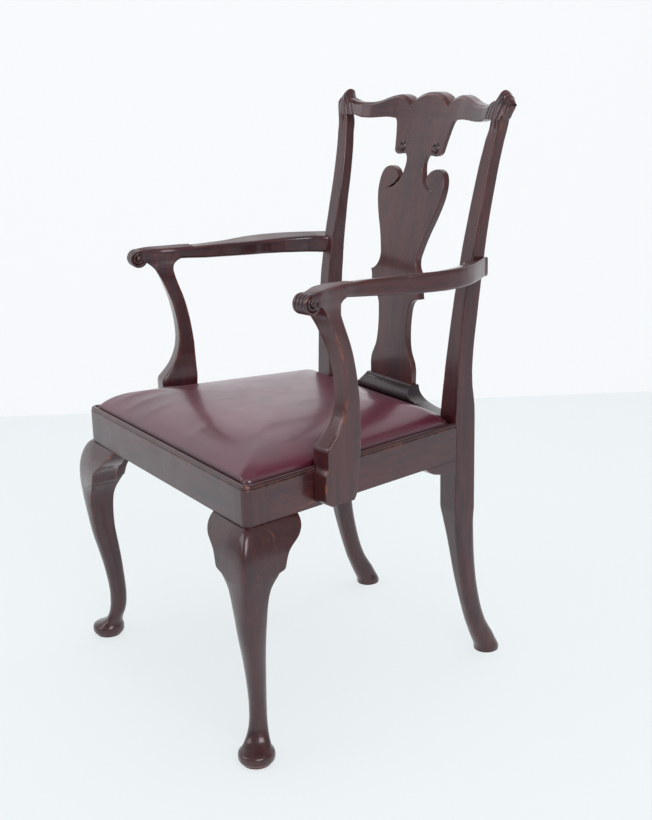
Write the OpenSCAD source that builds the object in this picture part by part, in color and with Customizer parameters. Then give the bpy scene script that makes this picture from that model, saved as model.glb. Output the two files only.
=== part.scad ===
// Queen Anne style armchair: cabriole front legs, pierced vase splat, scrolled arms
// and a drop-in leather seat. Millimetres, +Z up, the sitter faces -Y.
// Profiles are drawn in a chair frame whose front rail face is Y = 0 and whose floor
// is Z = 0; the last module centres that frame on the chair's footprint.

/* [Seat] */
// Width across the front rail
seat_front_w = 558; // [500:1:620]
// Width across the side rails where they meet the rear posts
seat_rear_w = 418; // [380:1:450]
// Depth from the front rail's face to the rear posts
seat_depth = 440; // [400:1:480]
// Height of the top of the rail lip
seat_h = 440; // [410:1:470]

/* [Rails] */
// Height of the seat rails without their lip
rail_h = 55; // [48:1:62]
// Thickness of the seat rails
rail_t = 28; // [24:1:34]
// Height of the bead that stands on the rails and frames the seat
lip_h = 8; // [6:0.5:10]
// Width of that bead
lip_w = 8; // [6:0.5:10]
// Depth of the ledge that carries the seat, below the rails' top
ledge_drop = 14; // [11:0.5:18]
// Radius of the front corners
corner_r = 12; // [6:1:16]
// Side of the square block on top of each front leg
stile = 45; // [42:1:50]
// Length of the rails' tenons
tenon_l = 24; // [16:1:28]
// Thickness of the rails' tenons
tenon_t = 10; // [8:1:12]
// Clearance around tenons, dowels and screws
joint_fit = 0.15; // [0.1:0.05:0.3]

/* [Front legs] */
// How far the knee stands proud of the rails
knee_out = 24; // [16:1:28]
// Radius of the pad foot
pad_r = 28.6; // [24:0.2:32]
// Radius of the turned disc under the pad
disc_r = 22.6; // [18:0.2:23.5]
// How far the foot's centre lies inside the corner, along the leg's diagonal
foot_inset = 7.2; // [2:0.2:12]
// Length of the knee brackets, measured from the corner
bracket_l = 98; // [86:1:115]
// Thickness of the knee brackets behind the rail's face
bracket_t = 22; // [16:1:26]

/* [Rear posts] */
// Width of a rear post at the seat
post_w = 44; // [40:1:50]
// Depth of a rear post at the seat
post_d = 41; // [36:1:46]
// Height of the crest rail's joint above the seat
post_rise = 483; // [440:1:530]
// How far the posts lean back at that joint
post_rake = 70.5; // [50:0.5:90]
// How far the posts spread outwards at that joint
post_flare = 18.5; // [10:0.5:26]
// How far the rear feet stand behind the posts' centre at the seat
rear_foot_back = 71; // [50:1:90]
// Radius of the rear feet
rear_foot_r = 21.7; // [18:0.1:25]

/* [Back] */
// Height of the crest rail above its joint, at the middle hump
crest_rise = 40; // [34:1:48]
// Thickness of the crest rail
crest_t = 24; // [20:1:28]
// How far the crest rail bows back in the middle
crest_bow = 32; // [20:1:44]
// Thickness of the splat
splat_t = 13; // [9:0.5:15]
// Swell of the splat's vase and lobes beyond its foot, as a factor
splat_width = 1; // [0.85:0.01:1.15]
// Height of the shoe above the seat
shoe_h = 33; // [28:1:40]

/* [Arms] */
// Height of the arms above the seat
arm_rise = 271; // [240:1:300]
// Distance of the arm scroll's centre behind the front rail's face
scroll_y = 115; // [99:1:130]
// Radius of the arm scroll
scroll_r = 15.2; // [13.6:0.2:17]
// Thickness of the arm supports
support_t = 27.6; // [24:0.2:32]
// Height of the arm supports' feet above the rails' bottom edge
support_lift = 4; // [1:1:10]

/* [Drop-in seat] */
// Gap between the seat's cover and the lip
seat_gap = 1.2; // [0.8:0.1:2.5]
// Thickness of the seat frame
frame_t = 18; // [15:0.5:22]
// Width of the seat frame's members
frame_w = 46; // [38:1:56]
// Thickness of the leather
leather_t = 1.6; // [1.2:0.1:2.4]
// Height of the seat's crown above its frame
crown_h = 43; // [30:1:50]
// Width of the jute webbing
web_w = 50; // [40:1:56]

/* [Fixings] */
// Radius of the wood screws' shanks
screw_r = 2.1; // [1.6:0.1:2.6]
// Radius of the wood screws' heads
screw_head_r = 4; // [3.4:0.1:4.6]

/* [Hidden] */

mahogany = "#4A2226";
mahogany_dark = "#3B1A1E";
oxblood = "#6B1430";
beech = "#C9A878";
jute = "#B59A6A";
linen = "#C8B48C";
steel = "#8A8D90";

// Angle of a side rail to the chair's centre plane
splay = atan((seat_front_w - seat_rear_w) / 2 / seat_depth);
side_rail_l = seat_depth / cos(splay);
rail_bottom = seat_h - lip_h - rail_h;
rail_top = seat_h - lip_h;
ledge_z = rail_top - ledge_drop;
post_joint_z = seat_h + post_rise;
tenon_h = rail_h - ledge_drop - 4;
tenon_z = rail_bottom + 2;
// How far a tenon runs into the piece that it grows from
overlap = 0.5;

// Heights at which the outlines below are drawn; each is stretched to the real height
leg_drawn = 377;
post_drawn = 483;

// The foot of a front leg, in the chair frame, and of a rear leg
leg_turn = -45 + splay / 2;
foot_x = seat_front_w / 2 - foot_inset * cos(leg_turn);
foot_y = -foot_inset * sin(leg_turn);
rear_foot_x = seat_rear_w / 2 - post_w / 2 - 3.5;
rear_foot_y = seat_depth + post_d / 2 + rear_foot_back;

// ---------------------------------------------------------------- general helpers

function mix(a, b, t) = a + (b - a) * t;
function signed_pow(v, p) = sign(v) * pow(abs(v), p);
function column(table, c) = [for (row = table) [row[0], row[c]]];
function at(table, c, key) = lookup(key, column(table, c));
function flatten(lists) = [for (l = lists) each l];
function mirrored(points) = [for (i = [len(points) - 1:-1:0]) [-points[i][0], points[i][1]]];

// A closed solid through rings of n points, each ring anticlockwise seen from its end
module skin(rings) {
    n = len(rings[0]);
    last = (len(rings) - 1) * n;
    polyhedron(flatten(rings), concat(
        [[for (i = [0:n - 1]) i]],
        [for (r = [0:len(rings) - 2], i = [0:n - 1])
            let (a = r * n + i, b = r * n + (i + 1) % n) each [[a, a + n, b + n], [a, b + n, b]]],
        [[for (i = [n - 1:-1:0]) last + i]]));
}

// Anticlockwise rectangle from (x0, y0) to (x1, y1) with corners of radius r
function round_box(x0, y0, x1, y1, r, steps = 3) = [
    for (c = [[x1 - r, y1 - r, 0], [x0 + r, y1 - r, 90], [x0 + r, y0 + r, 180], [x1 - r, y0 + r, 270]],
        k = [0:steps]) [c[0] + r * cos(c[2] + 90 * k / steps), c[1] + r * sin(c[2] + 90 * k / steps)]];

function raised(points, z) = [for (p = points) [p[0], p[1], z]];

// A child drawn for the chair's right side, on the left side or on both
module on_left() {
    mirror([1, 0, 0]) children();
}
module on_both() {
    children();
    on_left() children();
}

// x runs back along the right side rail, y inwards from its outer face
module along_side_rail() {
    translate([seat_front_w / 2, 0, 0]) rotate([0, 0, 90 + splay]) children();
}

// x runs inwards along the front rail from its right corner, y inwards from its face
module along_front_rail() {
    translate([seat_front_w / 2, 0, 0]) mirror([1, 0, 0]) children();
}

// x of the right side rail's outer face at a depth y
function rail_x(y) = seat_front_w / 2 - y * tan(splay);

// Plan of the seat inset by d from the rails' outer faces, ending at the depth back
function seat_plan(d, back) = let (r = max(corner_r - d, 1), c = d + r,
        cx = rail_x(c) - c / cos(splay),
        arc = [for (k = [0:6]) let (a = mix(-90, splay, k / 6)) [cx + r * cos(a), c + r * sin(a)]],
        rear = [rail_x(back) - d / cos(splay), back])
    concat(arc, [rear], [[-rear[0], rear[1]]], mirrored(arc));

module plan_slab(d, back, z, h) {
    translate([0, 0, z]) linear_extrude(h) polygon(seat_plan(d, back));
}

// A countersunk wood screw along +Z with its head's top at the origin; grown by g it
// is the screw's bore, with a clear way in of the length given
module wood_screw(l, g = 0, way_in = 0) {
    rim = 0.4;
    head_h = screw_head_r - screw_r + rim;
    rotate_extrude($fn = 24) polygon([[0, -way_in], [screw_head_r + g, -way_in], [screw_head_r + g, rim],
        [screw_r + g, head_h], [screw_r + g, l + g], [0, l + g]]);
}

// ---------------------------------------------------------------- front legs

// Cabriole outline: height, reach outwards, reach inwards and half width across the
// diagonal, where the widest point lies, and the roundness outside and inside
leg_table = [
    [5.5, 26.5, -26.5, 26.5, 0, 2, 2], [9, 28.2, -28.2, 28.2, 0, 2, 2], [14, 28.6, -28.6, 28.6, 0, 2, 2],
    [19, 27.6, -28.4, 27.6, 0, 2, 2], [23, 20.5, -27.6, 23.5, -2, 2, 2], [27, 11, -27, 21.2, -6, 2, 2],
    [33, 1.5, -28, 18.6, -12, 2, 2], [41, -3.5, -31, 16.4, -17, 2, 2], [52, -7, -35.4, 14.6, -21, 2, 2],
    [66, -8.8, -38.4, 13.7, -23.6, 2, 2], [84, -9.2, -39.6, 13.7, -24.4, 2, 2],
    [102, -7.6, -39, 14.2, -23.3, 1.95, 2], [121, -4.2, -37.6, 15, -20.6, 1.9, 1.9],
    [142, 0.3, -36, 16.2, -17, 1.8, 1.8], [160, 5.2, -34.2, 17.4, -13, 1.75, 1.7],
    [178, 10.6, -32, 18.8, -8.5, 1.7, 1.6], [198, 16.4, -29.2, 20.6, -4, 1.65, 1.5],
    [218, 21.2, -27, 22.6, -0.5, 1.6, 1.4], [238, 25.8, -26.6, 24.6, 1.5, 1.5, 1.35],
    [255, 29, -27.2, 26.4, 3, 1.45, 1.3], [270, 31.4, -28.8, 28.6, 2.5, 1.4, 1.25],
    [282, 32.7, -31.5, 31.4, 0, 1.35, 1.2], [292, 33.5, -36, 35, -4, 1.3, 1.15],
    [303, 34, -43, 40, -9, 1.27, 1.1], [316, 33.6, -51, 44.5, -11.5, 1.25, 1.05],
    [330, 31.8, -53, 45, -11.5, 1.22, 1.05], [342, 29.4, -53, 44.3, -11.5, 1.2, 1.05],
    [352, 26, -53, 43, -11.5, 1.2, 1.05], [361, 21.8, -53, 41, -11.5, 1.2, 1.05],
    [368, 17.2, -53, 38.6, -11.5, 1.2, 1.05], [373, 13, -53, 36, -11.5, 1.2, 1.05],
    [377, 7, -53, 32.4, -11.5, 1.2, 1.05]];
leg_sides = 28;

// One ring of the leg; proud scales what stands outside the rails to knee_out
function leg_ring(row) = let (
        proud = knee_out / 24, out = row[0] > 250 ? (row[1] - 7) * proud + 7 : row[1],
        pad = row[0] < 20 ? pad_r / 28.6 : 1)
    [for (k = [0:leg_sides - 1]) let (a = 360 * k / leg_sides, c = cos(a), s = sin(a),
            d = c >= 0 ? row[4] + (out - row[4]) * pow(c, 2 / row[5])
                : row[4] - (row[4] - row[2]) * pow(-c, 2 / row[6]),
            l = row[3] * signed_pow(s, 2 / (c >= 0 ? row[5] : row[6])))
        [d * pad, l * pad, row[0] * rail_bottom / leg_drawn]];

// The square block that the front and side rails are tenoned into
module stile_block(z0, z1) {
    along_rail = [rail_x(0) - stile * sin(splay), stile * cos(splay)];
    inner_x = seat_front_w / 2 - stile;
    inner_y = along_rail[1] - (along_rail[0] - inner_x) * tan(splay);
    arc = [for (k = [0:6]) let (a = mix(-90, splay, k / 6))
        [rail_x(corner_r) - corner_r / cos(splay) + corner_r * cos(a), corner_r + corner_r * sin(a)]];
    translate([0, 0, z0]) linear_extrude(z1 - z0)
        polygon(concat([[inner_x, 0]], arc, [along_rail, [inner_x, inner_y]]));
}

module front_leg() {
    color(mahogany) difference() {
        union() {
            translate([foot_x, foot_y, 0]) {
                rotate([0, 0, leg_turn]) skin([for (row = leg_table) leg_ring(row)]);
                cylinder(r = disc_r, h = 6, $fn = 48);
            }
            stile_block(rail_bottom - 50, rail_top);
        }
        seat_well();
        front_tenon(joint_fit);
        side_tenon(joint_fit);
    }
}

// Room above the ledge for the drop-in seat
module seat_well() {
    plan_slab(lip_w, seat_depth, ledge_z, rail_h);
}

// Tenons on the rails' front ends, grown by g to cut their mortises. The side rails'
// are shorter, so that the two don't meet inside the stile.
module rail_tenon(l, g) {
    translate([stile - l - g, (rail_t - tenon_t) / 2 - g, tenon_z - g])
        cube([l + g + overlap, tenon_t + 2 * g, tenon_h + 2 * g]);
}

module front_tenon(g) {
    along_front_rail() rail_tenon(tenon_l, g);
}

module side_tenon(g) {
    along_side_rail() rail_tenon(tenon_l - tenon_t, g);
}

// ---------------------------------------------------------------- knee brackets

// Outline along the rail, as distance before the tip and height below the rail
bracket_tip = [[0, 0], [1, -7], [5.5, -17], [10, -22], [15.5, -27], [22, -31.5], [29, -36],
    [35, -41], [39.5, -47], [43, -55], [45.5, -64], [47, -74]];
// Section through the bracket: how far it stands proud, and height below the rail
bracket_relief = [[0.12, 0], [0.32, -2], [0.46, -7], [0.6, -12], [0.7, -17], [0.8, -22],
    [0.87, -27], [0.92, -35], [0.96, -47], [1, -60], [1, -80]];

module knee_bracket() {
    heel = stile + 0.1;
    intersection() {
        translate([0, bracket_t, rail_bottom]) rotate([90, 0, 0]) linear_extrude(bracket_t + knee_out + 1)
            polygon(concat([[heel, 0]], [for (p = bracket_tip) [bracket_l - p[0], p[1]]], [[heel, -74]]));
        translate([0, 0, rail_bottom]) rotate([90, 0, 90]) linear_extrude(bracket_l + 1)
            polygon(concat([for (p = bracket_relief) [-p[0] * knee_out, p[1]]],
                [[bracket_t, -80], [bracket_t, 0]]));
    }
}

module knee_bracket_front() {
    color(mahogany) difference() {
        along_front_rail() knee_bracket();
        front_leg_blank();
    }
}

module knee_bracket_side() {
    color(mahogany) difference() {
        along_side_rail() knee_bracket();
        front_leg_blank();
    }
}

// The leg's knee, to fit the brackets against
module front_leg_blank() {
    translate([foot_x, foot_y, 0]) rotate([0, 0, leg_turn])
        skin([for (row = leg_table) if (row[0] > 280) leg_ring(row)]);
}

// ---------------------------------------------------------------- rear posts

// Above the seat: height, then shares of the flare, width, rake and depth
post_table = [
    [0, 0, 1, 0, 1], [20, 0.016, 0.973, 0.01, 0.966], [40, 0.027, 0.943, 0.024, 0.885],
    [60, 0.043, 0.9, 0.035, 0.793], [80, 0.06, 0.866, 0.05, 0.74], [100, 0.076, 0.832, 0.068, 0.72],
    [120, 0.092, 0.8, 0.092, 0.71], [140, 0.108, 0.765, 0.114, 0.72], [160, 0.13, 0.736, 0.139, 0.737],
    [180, 0.151, 0.705, 0.167, 0.75], [200, 0.168, 0.682, 0.199, 0.75], [220, 0.19, 0.675, 0.248, 0.727],
    [240, 0.227, 0.675, 0.298, 0.69], [260, 0.265, 0.677, 0.349, 0.668], [280, 0.276, 0.68, 0.404, 0.634],
    [300, 0.286, 0.682, 0.468, 0.598], [320, 0.319, 0.682, 0.532, 0.561], [340, 0.34, 0.68, 0.596, 0.537],
    [360, 0.362, 0.675, 0.661, 0.524], [380, 0.4, 0.664, 0.723, 0.515], [400, 0.443, 0.645, 0.78, 0.51],
    [420, 0.5, 0.62, 0.837, 0.51], [440, 0.61, 0.595, 0.894, 0.505], [460, 0.76, 0.58, 0.943, 0.5],
    [483, 1, 0.568, 1, 0.49]];
// Below the rails: height, centre's share of the way to the foot, half width, half depth, corner radius
rear_leg_table = [
    [0, 1, 21, 21.4, 20], [4, 1, 21.7, 21.7, 20.5], [9, 0.985, 21.2, 21.4, 20], [20, 0.91, 18.6, 21, 17.5],
    [34, 0.815, 17, 20.6, 15.5], [47, 0.72, 16, 19.2, 14.5], [64, 0.605, 15.6, 17.8, 14],
    [96, 0.455, 15.8, 16.6, 13.5], [126, 0.345, 16.4, 16.6, 12.8], [157, 0.25, 17.2, 16.8, 12],
    [200, 0.155, 18.6, 17.6, 11], [236, 0.085, 20, 18.8, 9.5], [264, 0.03, 21.2, 19.8, 7],
    [288, 0, 22, 20.5, 3], [340, 0, 22, 20.5, 2]];
post_edge_r = 2.5;

function post_ring(row, g) = let (
        out = seat_rear_w / 2 + row[1] * post_flare, front = seat_depth + row[3] * post_rake)
    raised(round_box(out - row[2] * post_w - g, front - g, out + g, front + row[4] * post_d + g,
            post_edge_r),
        seat_h + row[0] * post_rise / post_drawn);
function rear_leg_ring(row) = let (
        wide = post_w / 44, deep = post_d / 41, low = row[0] < 15 ? rear_foot_r / 21.7 : 1,
        a = row[2] * (row[0] < 15 ? low : wide), b = row[3] * (row[0] < 15 ? low : deep),
        x = mix(seat_rear_w / 2 - post_w / 2, rear_foot_x, row[1]),
        y = mix(seat_depth + post_d / 2, rear_foot_y, row[1]))
    raised(round_box(x - a, y - b, x + a, y + b, min(row[4] * low, a - 0.2, b - 0.2)),
        row[0] * rail_bottom / leg_drawn);

module post_blank(g = 0) {
    skin([for (row = post_table) post_ring(row, g)]);
}

module rear_post() {
    color(mahogany) difference() {
        skin(concat([for (row = rear_leg_table) rear_leg_ring(row)],
            [for (row = post_table) post_ring(row, 0)]));
        side_rear_tenon(joint_fit);
        rear_rail_tenon(joint_fit);
        arm_screw(joint_fit);
        crest_tenon(joint_fit);
    }
}

// Tenons of the side rail and of the rear rail in a rear post
module side_rear_tenon(g) {
    intersection() {
        along_side_rail() translate([side_rail_l - tenon_l, (rail_t - tenon_t) / 2 - g, tenon_z - g])
            cube([2 * tenon_l, tenon_t + 2 * g, tenon_h + 2 * g]);
        translate([0, seat_depth - overlap, 0])
            cube([seat_front_w, side_rear_tenon_l + g + overlap, seat_h]);
    }
}

module rear_rail_tenon(g) {
    translate([seat_rear_w / 2 - post_w - overlap, rear_rail_tenon_y - g, tenon_z - g])
        cube([rear_rail_tenon_l + g + overlap, tenon_t + 2 * g, tenon_h + 2 * g]);
}
side_rear_tenon_l = tenon_l - tenon_t;
rear_rail_tenon_l = tenon_l - 4;
rear_rail_tenon_y = seat_depth + side_rear_tenon_l + 3;

// ---------------------------------------------------------------- seat rails

module front_rail() {
    half = seat_front_w / 2 - stile;
    color(mahogany) difference() {
        union() {
            translate([-half, 0, rail_bottom]) cube([2 * half, rail_t, rail_h]);
            on_both() front_tenon(0);
        }
        seat_well();
        on_both() block_screws(joint_fit);
    }
}

module side_rail() {
    color(mahogany) difference() {
        union() {
            intersection() {
                along_side_rail() translate([stile, 0, rail_bottom]) cube([side_rail_l, rail_t, rail_h]);
                cube([seat_front_w, seat_depth, seat_h]);
            }
            side_tenon(0);
            side_rear_tenon(0);
        }
        seat_well();
        support_screws(joint_fit);
        block_screws(joint_fit);
    }
}

module rear_rail() {
    half = seat_rear_w / 2 - post_w;
    depth = post_d - 9;
    color(mahogany_dark) union() {
        translate([-half, seat_depth, rail_bottom]) cube([2 * half, depth, rail_h + lip_h]);
        on_both() rear_rail_tenon(0);
    }
}

// Batten on the rear rail's face that carries the back of the drop-in seat
module rear_seat_ledge() {
    half = rail_x(seat_depth) - rail_t / cos(splay) - 1;
    color(beech) difference() {
        translate([-half, seat_depth - ledge_w, ledge_z - ledge_batten_h])
            cube([2 * half, ledge_w, ledge_batten_h]);
        on_both() block_screws(joint_fit);
    }
}
ledge_w = 20;
ledge_batten_h = 26;

// ---------------------------------------------------------------- rail lip

// A bead with a rounded outer edge, cut into three lengths at the corners
lip_steps = [[0, 0], [0.5, 0], [0.72, 0.1], [0.88, 0.24], [1, 0.48]];

module lip_ring() {
    difference() {
        skin([for (p = lip_steps) raised(seat_plan(p[1] * lip_w, seat_depth), rail_top + p[0] * lip_h)]);
        plan_slab(lip_w, seat_depth + 1, rail_top - 1, lip_h + 2);
    }
}

// Everything in front of the mitres through the front corners
module front_of_mitres() {
    reach = seat_front_w;
    c = [seat_front_w / 2, 0];
    linear_extrude(2 * seat_h) polygon([[-c[0] - reach, -reach], [c[0] + reach, -reach],
        c, [c[0] - 60 * cos(-leg_turn), 60 * sin(-leg_turn)],
        [-c[0] + 60 * cos(-leg_turn), 60 * sin(-leg_turn)], [-c[0], 0]]);
}

module rail_lip_front() {
    color(mahogany) intersection() {
        lip_ring();
        front_of_mitres();
    }
}

module rail_lip_side() {
    color(mahogany) difference() {
        intersection() {
            lip_ring();
            cube([seat_front_w, seat_depth, 2 * seat_h]);
        }
        front_of_mitres();
    }
}

// ---------------------------------------------------------------- small brackets and blocks

// Outline of a rear bracket: distance before the post, and height below the rail
rear_bracket_edge = [[76, 0], [71, -1.5], [66, -5.5], [60, -9.5], [54, -12.6], [46, -15], [37, -17],
    [26, -20], [14, -23.6], [0, -28]];

module rear_bracket() {
    color(mahogany) intersection() {
        along_side_rail() translate([0, rail_t, rail_bottom]) rotate([90, 0, 0]) linear_extrude(rail_t)
            polygon(concat([for (p = rear_bracket_edge) [side_rail_l - p[0], p[1]]],
                [[side_rail_l + 10, -30], [side_rail_l + 10, 0]]));
        cube([seat_front_w, seat_depth, seat_h]);
    }
}

// Triangular glue block in a corner, between two rails' inner faces
module corner_block_front() {
    reach = 58;
    z = rail_bottom + 4;
    inner = [rail_x(rail_t) - rail_t / cos(splay), rail_t];
    color(beech) difference() {
        translate([0, 0, z]) linear_extrude(block_h) polygon([inner,
            [inner[0] - reach * sin(splay), inner[1] + reach * cos(splay)],
            [inner[0] - reach, inner[1]]]);
        stile_block(z - 1, z + block_h + 1);
        block_screws(joint_fit);
    }
}
block_h = 30;

module corner_block_rear() {
    reach = 52;
    y = seat_depth - ledge_w;
    x = rail_x(y) - rail_t / cos(splay);
    color(beech) difference() {
        translate([0, 0, rail_bottom + 4]) linear_extrude(block_h) polygon([[x, y], [x - reach, y],
            [x + reach * tan(splay), y - reach]]);
        block_screws(joint_fit);
    }
}

// Two screws through each corner block, one into each of its rails
block_screw_at = 38;
block_screw_depth = 14;
module block_screws(g) {
    way_in = g > 0 ? 20 : 0;
    z = rail_bottom + 4 + block_h / 2;
    y = seat_depth - ledge_w;
    front = [rail_x(rail_t) - rail_t / cos(splay), rail_t];
    rear = [rail_x(y) - rail_t / cos(splay), y];
    translate([front[0] - block_screw_at, front[1] + block_screw_depth, z]) rotate([90, 0, 0])
        wood_screw(block_screw_depth + 14, g, way_in);
    translate([rear[0] - block_screw_at, rear[1] - block_screw_depth, z]) rotate([-90, 0, 0])
        wood_screw(block_screw_depth + 14, g, way_in);
    for (at_rail = [[front, block_screw_at], [rear, -block_screw_at]])
        translate([at_rail[0][0], at_rail[0][1], z]) rotate([0, 0, splay])
            translate([-block_screw_depth, at_rail[1], 0]) rotate([0, 90, 0])
                wood_screw(block_screw_depth + 14, g, way_in);
}

module corner_block_screws() {
    color(steel) on_both() block_screws(0);
}

// ---------------------------------------------------------------- shoe and splat

// The splat's front face leans back: height above the seat and depth behind the posts' front
splat_lean = [[-10, 18.7], [0, 19], [34, 19.4], [70, 20.3], [120, 23], [200, 30], [300, 49],
    [398, 73], [420, 80], [478, 99.5]];
function splat_y(z) = seat_depth + lookup(z - seat_h, splat_lean);
// Share of the board's full thickness at each height above the seat
splat_taper = [[0, 0.86], [250, 1], [370, 1], [425, 0.66], [478, 0.56]];
function splat_back(z) = splat_y(z) + splat_t * lookup(z - seat_h, splat_taper);

module shoe() {
    top = seat_h + shoe_h;
    half = seat_rear_w / 2 - post_w;
    top_half = splat_foot + 7;
    back = splat_back(seat_h + shoe_h) + 1;
    front = [for (k = [0:8]) let (a = 90 * k / 8)
        [mix(half + 2, top_half, sin(a)), mix(seat_h + 2, top, pow(1 - cos(a), 1.35))]];
    cavetto = [for (k = [0:6]) let (a = 90 * k / 6)
        [seat_depth + 1.5 + 14.5 * (1 - cos(a)), mix(seat_h + 9, top - 4, sin(a))]];
    color(mahogany) difference() {
        intersection() {
            translate([0, seat_depth + post_d, 0]) rotate([90, 0, 0]) linear_extrude(post_d + 5)
                polygon(concat([[half, seat_h]], front, mirrored(front), [[-half, seat_h]]));
            translate([-half, 0, 0]) rotate([90, 0, 90]) linear_extrude(2 * half)
                polygon(concat([[seat_depth + 1.5, seat_h]], cavetto,
                    [[seat_depth + 16, top], [back, top], [back, seat_h]]));
        }
        splat_blank(joint_fit, seat_h + 8);
    }
}

// A board that follows the splat's lean, grown by g, from the height z0 up
module splat_blank(g, z0 = 0) {
    half = splat_half(splat_foot) + g;
    intersection() {
        splat_board(g);
        translate([-half, 0, z0]) cube([2 * half, 2 * seat_depth, post_joint_z]);
    }
}
function splat_half(x) = x > splat_foot ? splat_foot + (x - splat_foot) * splat_width : x;
splat_foot = 60.9;

// Right half of the splat's outline: x, and height above the seat
splat_outline = [
    [60.9, 8], [60.8, 34], [60.6, 50], [60.4, 59], [58.6, 66], [52, 78.5], [47, 88], [44, 99],
    [42.3, 111], [41.4, 130], [42.3, 150], [44.4, 164], [48.5, 172.5], [56, 178.6], [66, 181.6],
    [72.6, 182.4],
    [70.2, 191], [69.4, 201], [70.6, 210], [74.4, 219],
    [66, 222.4], [58.5, 229], [53.6, 237.5], [52.2, 247], [55.6, 261], [61.2, 277.6], [68.2, 294.6],
    [76, 311], [83.6, 330], [88.4, 345], [90.8, 360], [90.4, 374], [87.6, 385], [82.6, 392.4],
    [75, 396.6], [65, 398], [55, 396], [47, 392], [41.8, 386], [39.2, 379], [43, 372.6],
    [52, 366], [63.6, 360.6], [58.6, 360.9], [51, 363.6], [40.6, 369.6], [33, 377],
    [28, 387], [25.2, 398], [25, 407], [27.6, 415], [33, 420],
    [61, 420.4], [64.6, 423], [67.2, 432], [70, 445], [73.4, 459], [77, 471], [79.6, 480], [80, 486]];

// The part above the volutes hangs from the crest, and the rest stands on the shoe
splat_hangs_above = 400;
module splat() {
    outline = [for (p = splat_outline) [splat_half(p[0]),
        seat_h + (p[1] > splat_hangs_above ? post_rise - post_drawn + p[1] : p[1])]];
    crest_y = 2 * seat_depth;
    color(mahogany) difference() {
        intersection() {
            splat_board();
            translate([0, crest_y, 0]) rotate([90, 0, 0]) linear_extrude(crest_y)
                polygon(concat(outline, mirrored(outline)));
        }
        crest_solid(0.05);
    }
}

module splat_board(g = 0) {
    heights = [for (row = splat_lean) row[0] + seat_h];
    side = seat_rear_w / 2;
    translate([-side, 0, 0]) rotate([90, 0, 90]) linear_extrude(2 * side) polygon(concat(
        [for (z = heights) [splat_y(z) - g, z]],
        [for (i = [len(heights) - 1:-1:0]) [splat_back(heights[i]) + g, heights[i]]]));
}

// ---------------------------------------------------------------- crest rail

// Half outlines of the crest: distance from the middle, height above its joint
crest_top = [[0, 40], [12, 39.4], [24, 37], [34, 33.5], [43, 28.5], [49, 24], [53, 22], [57, 25], [62, 28.6],
    [72, 33], [85, 35.3], [100, 33.4], [115, 29.6], [130, 25], [148, 22], [165, 21.4], [181, 22.4],
    [194, 26.4], [204, 32.4], [210, 40], [213.5, 45], [216, 44.4], [222, 39.6], [227, 35.4], [231.6, 31.4],
    [235, 27.6], [236.6, 24]];
crest_bottom = [[0, -5], [84, -4.5], [107, -3.5], [120, -4], [148, -5.5], [165, -5], [176, -2.4],
    [183, 0], [227.5, 0], [231.6, 7], [235, 15], [236.6, 21]];
// Depth of the crest's front face at its foot, behind the posts' front at the joint
crest_plan = [[0, 1], [30, 0.985], [60, 0.93], [84, 0.86], [110, 0.72], [140, 0.52], [165, 0.33],
    [190, 0.15], [207, 0.03], [215, 0], [222, 0.03], [227, 0.08], [231.6, 0.14], [236.6, 0.26]];
crest_lean = 0.28;
ear_x = seat_rear_w / 2 + post_flare + 9;

function crest_x(x) = x < 165 ? x : 165 + (x - 165) * (ear_x - 165) / (236.5 - 165);
function crest_section(x, g = 0) = let (
        u = abs(x), zb = post_joint_z + lookup(u, crest_bottom) - g,
        zt = post_joint_z + lookup(u, crest_top) * crest_rise / 40 + g,
        y = seat_depth + post_rake - 2 + lookup(u, crest_plan) * crest_bow - g,
        thick = crest_t * mix(0.86, 1, lookup(u, crest_plan))
            * (u > 215 ? mix(1, 0.84, (u - 215) / 21.6) : 1),
        h = zt - zb, e = min(4, h / 4),
        outline = [[0, 0], [thick, 0], [thick + 1.5, h * 0.4], [thick, h - e], [thick - e, h],
            [e * 1.4, h], [e * 0.4, h - e * 0.6], [0, h - e * 1.6], [-0.6, h * 0.4]])
    [for (p = outline)
        [sign(x) * crest_x(u), y + p[0] * (1 + 2 * g / thick) + crest_lean * p[1], zb + p[1]]];
crest_stations = [for (p = crest_top) p[0]];

module crest_solid(g = 0) {
    xs = concat([for (i = [len(crest_stations) - 1:-1:1]) -crest_stations[i]], crest_stations);
    skin([for (x = xs) crest_section(x, g)]);
}

module crest_rail() {
    color(mahogany) union() {
        crest_solid();
        on_both() crest_tenon(0);
    }
}

// Tenon from the crest rail down into a rear post
crest_tenon_w = 16;
crest_tenon_t = 8;
crest_tenon_l = 26;
module crest_tenon(g) {
    x = seat_rear_w / 2 + post_flare - 0.76 * post_w / 2;
    y = seat_depth + post_rake + 0.53 * post_d / 2 - 2;
    translate([x - crest_tenon_w / 2 - g, y - crest_tenon_t / 2 - g, post_joint_z - crest_tenon_l - g])
        cube([crest_tenon_w + 2 * g, crest_tenon_t + 2 * g, crest_tenon_l + 1 + 2 * g]);
}

// ---------------------------------------------------------------- arms and their supports

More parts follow.
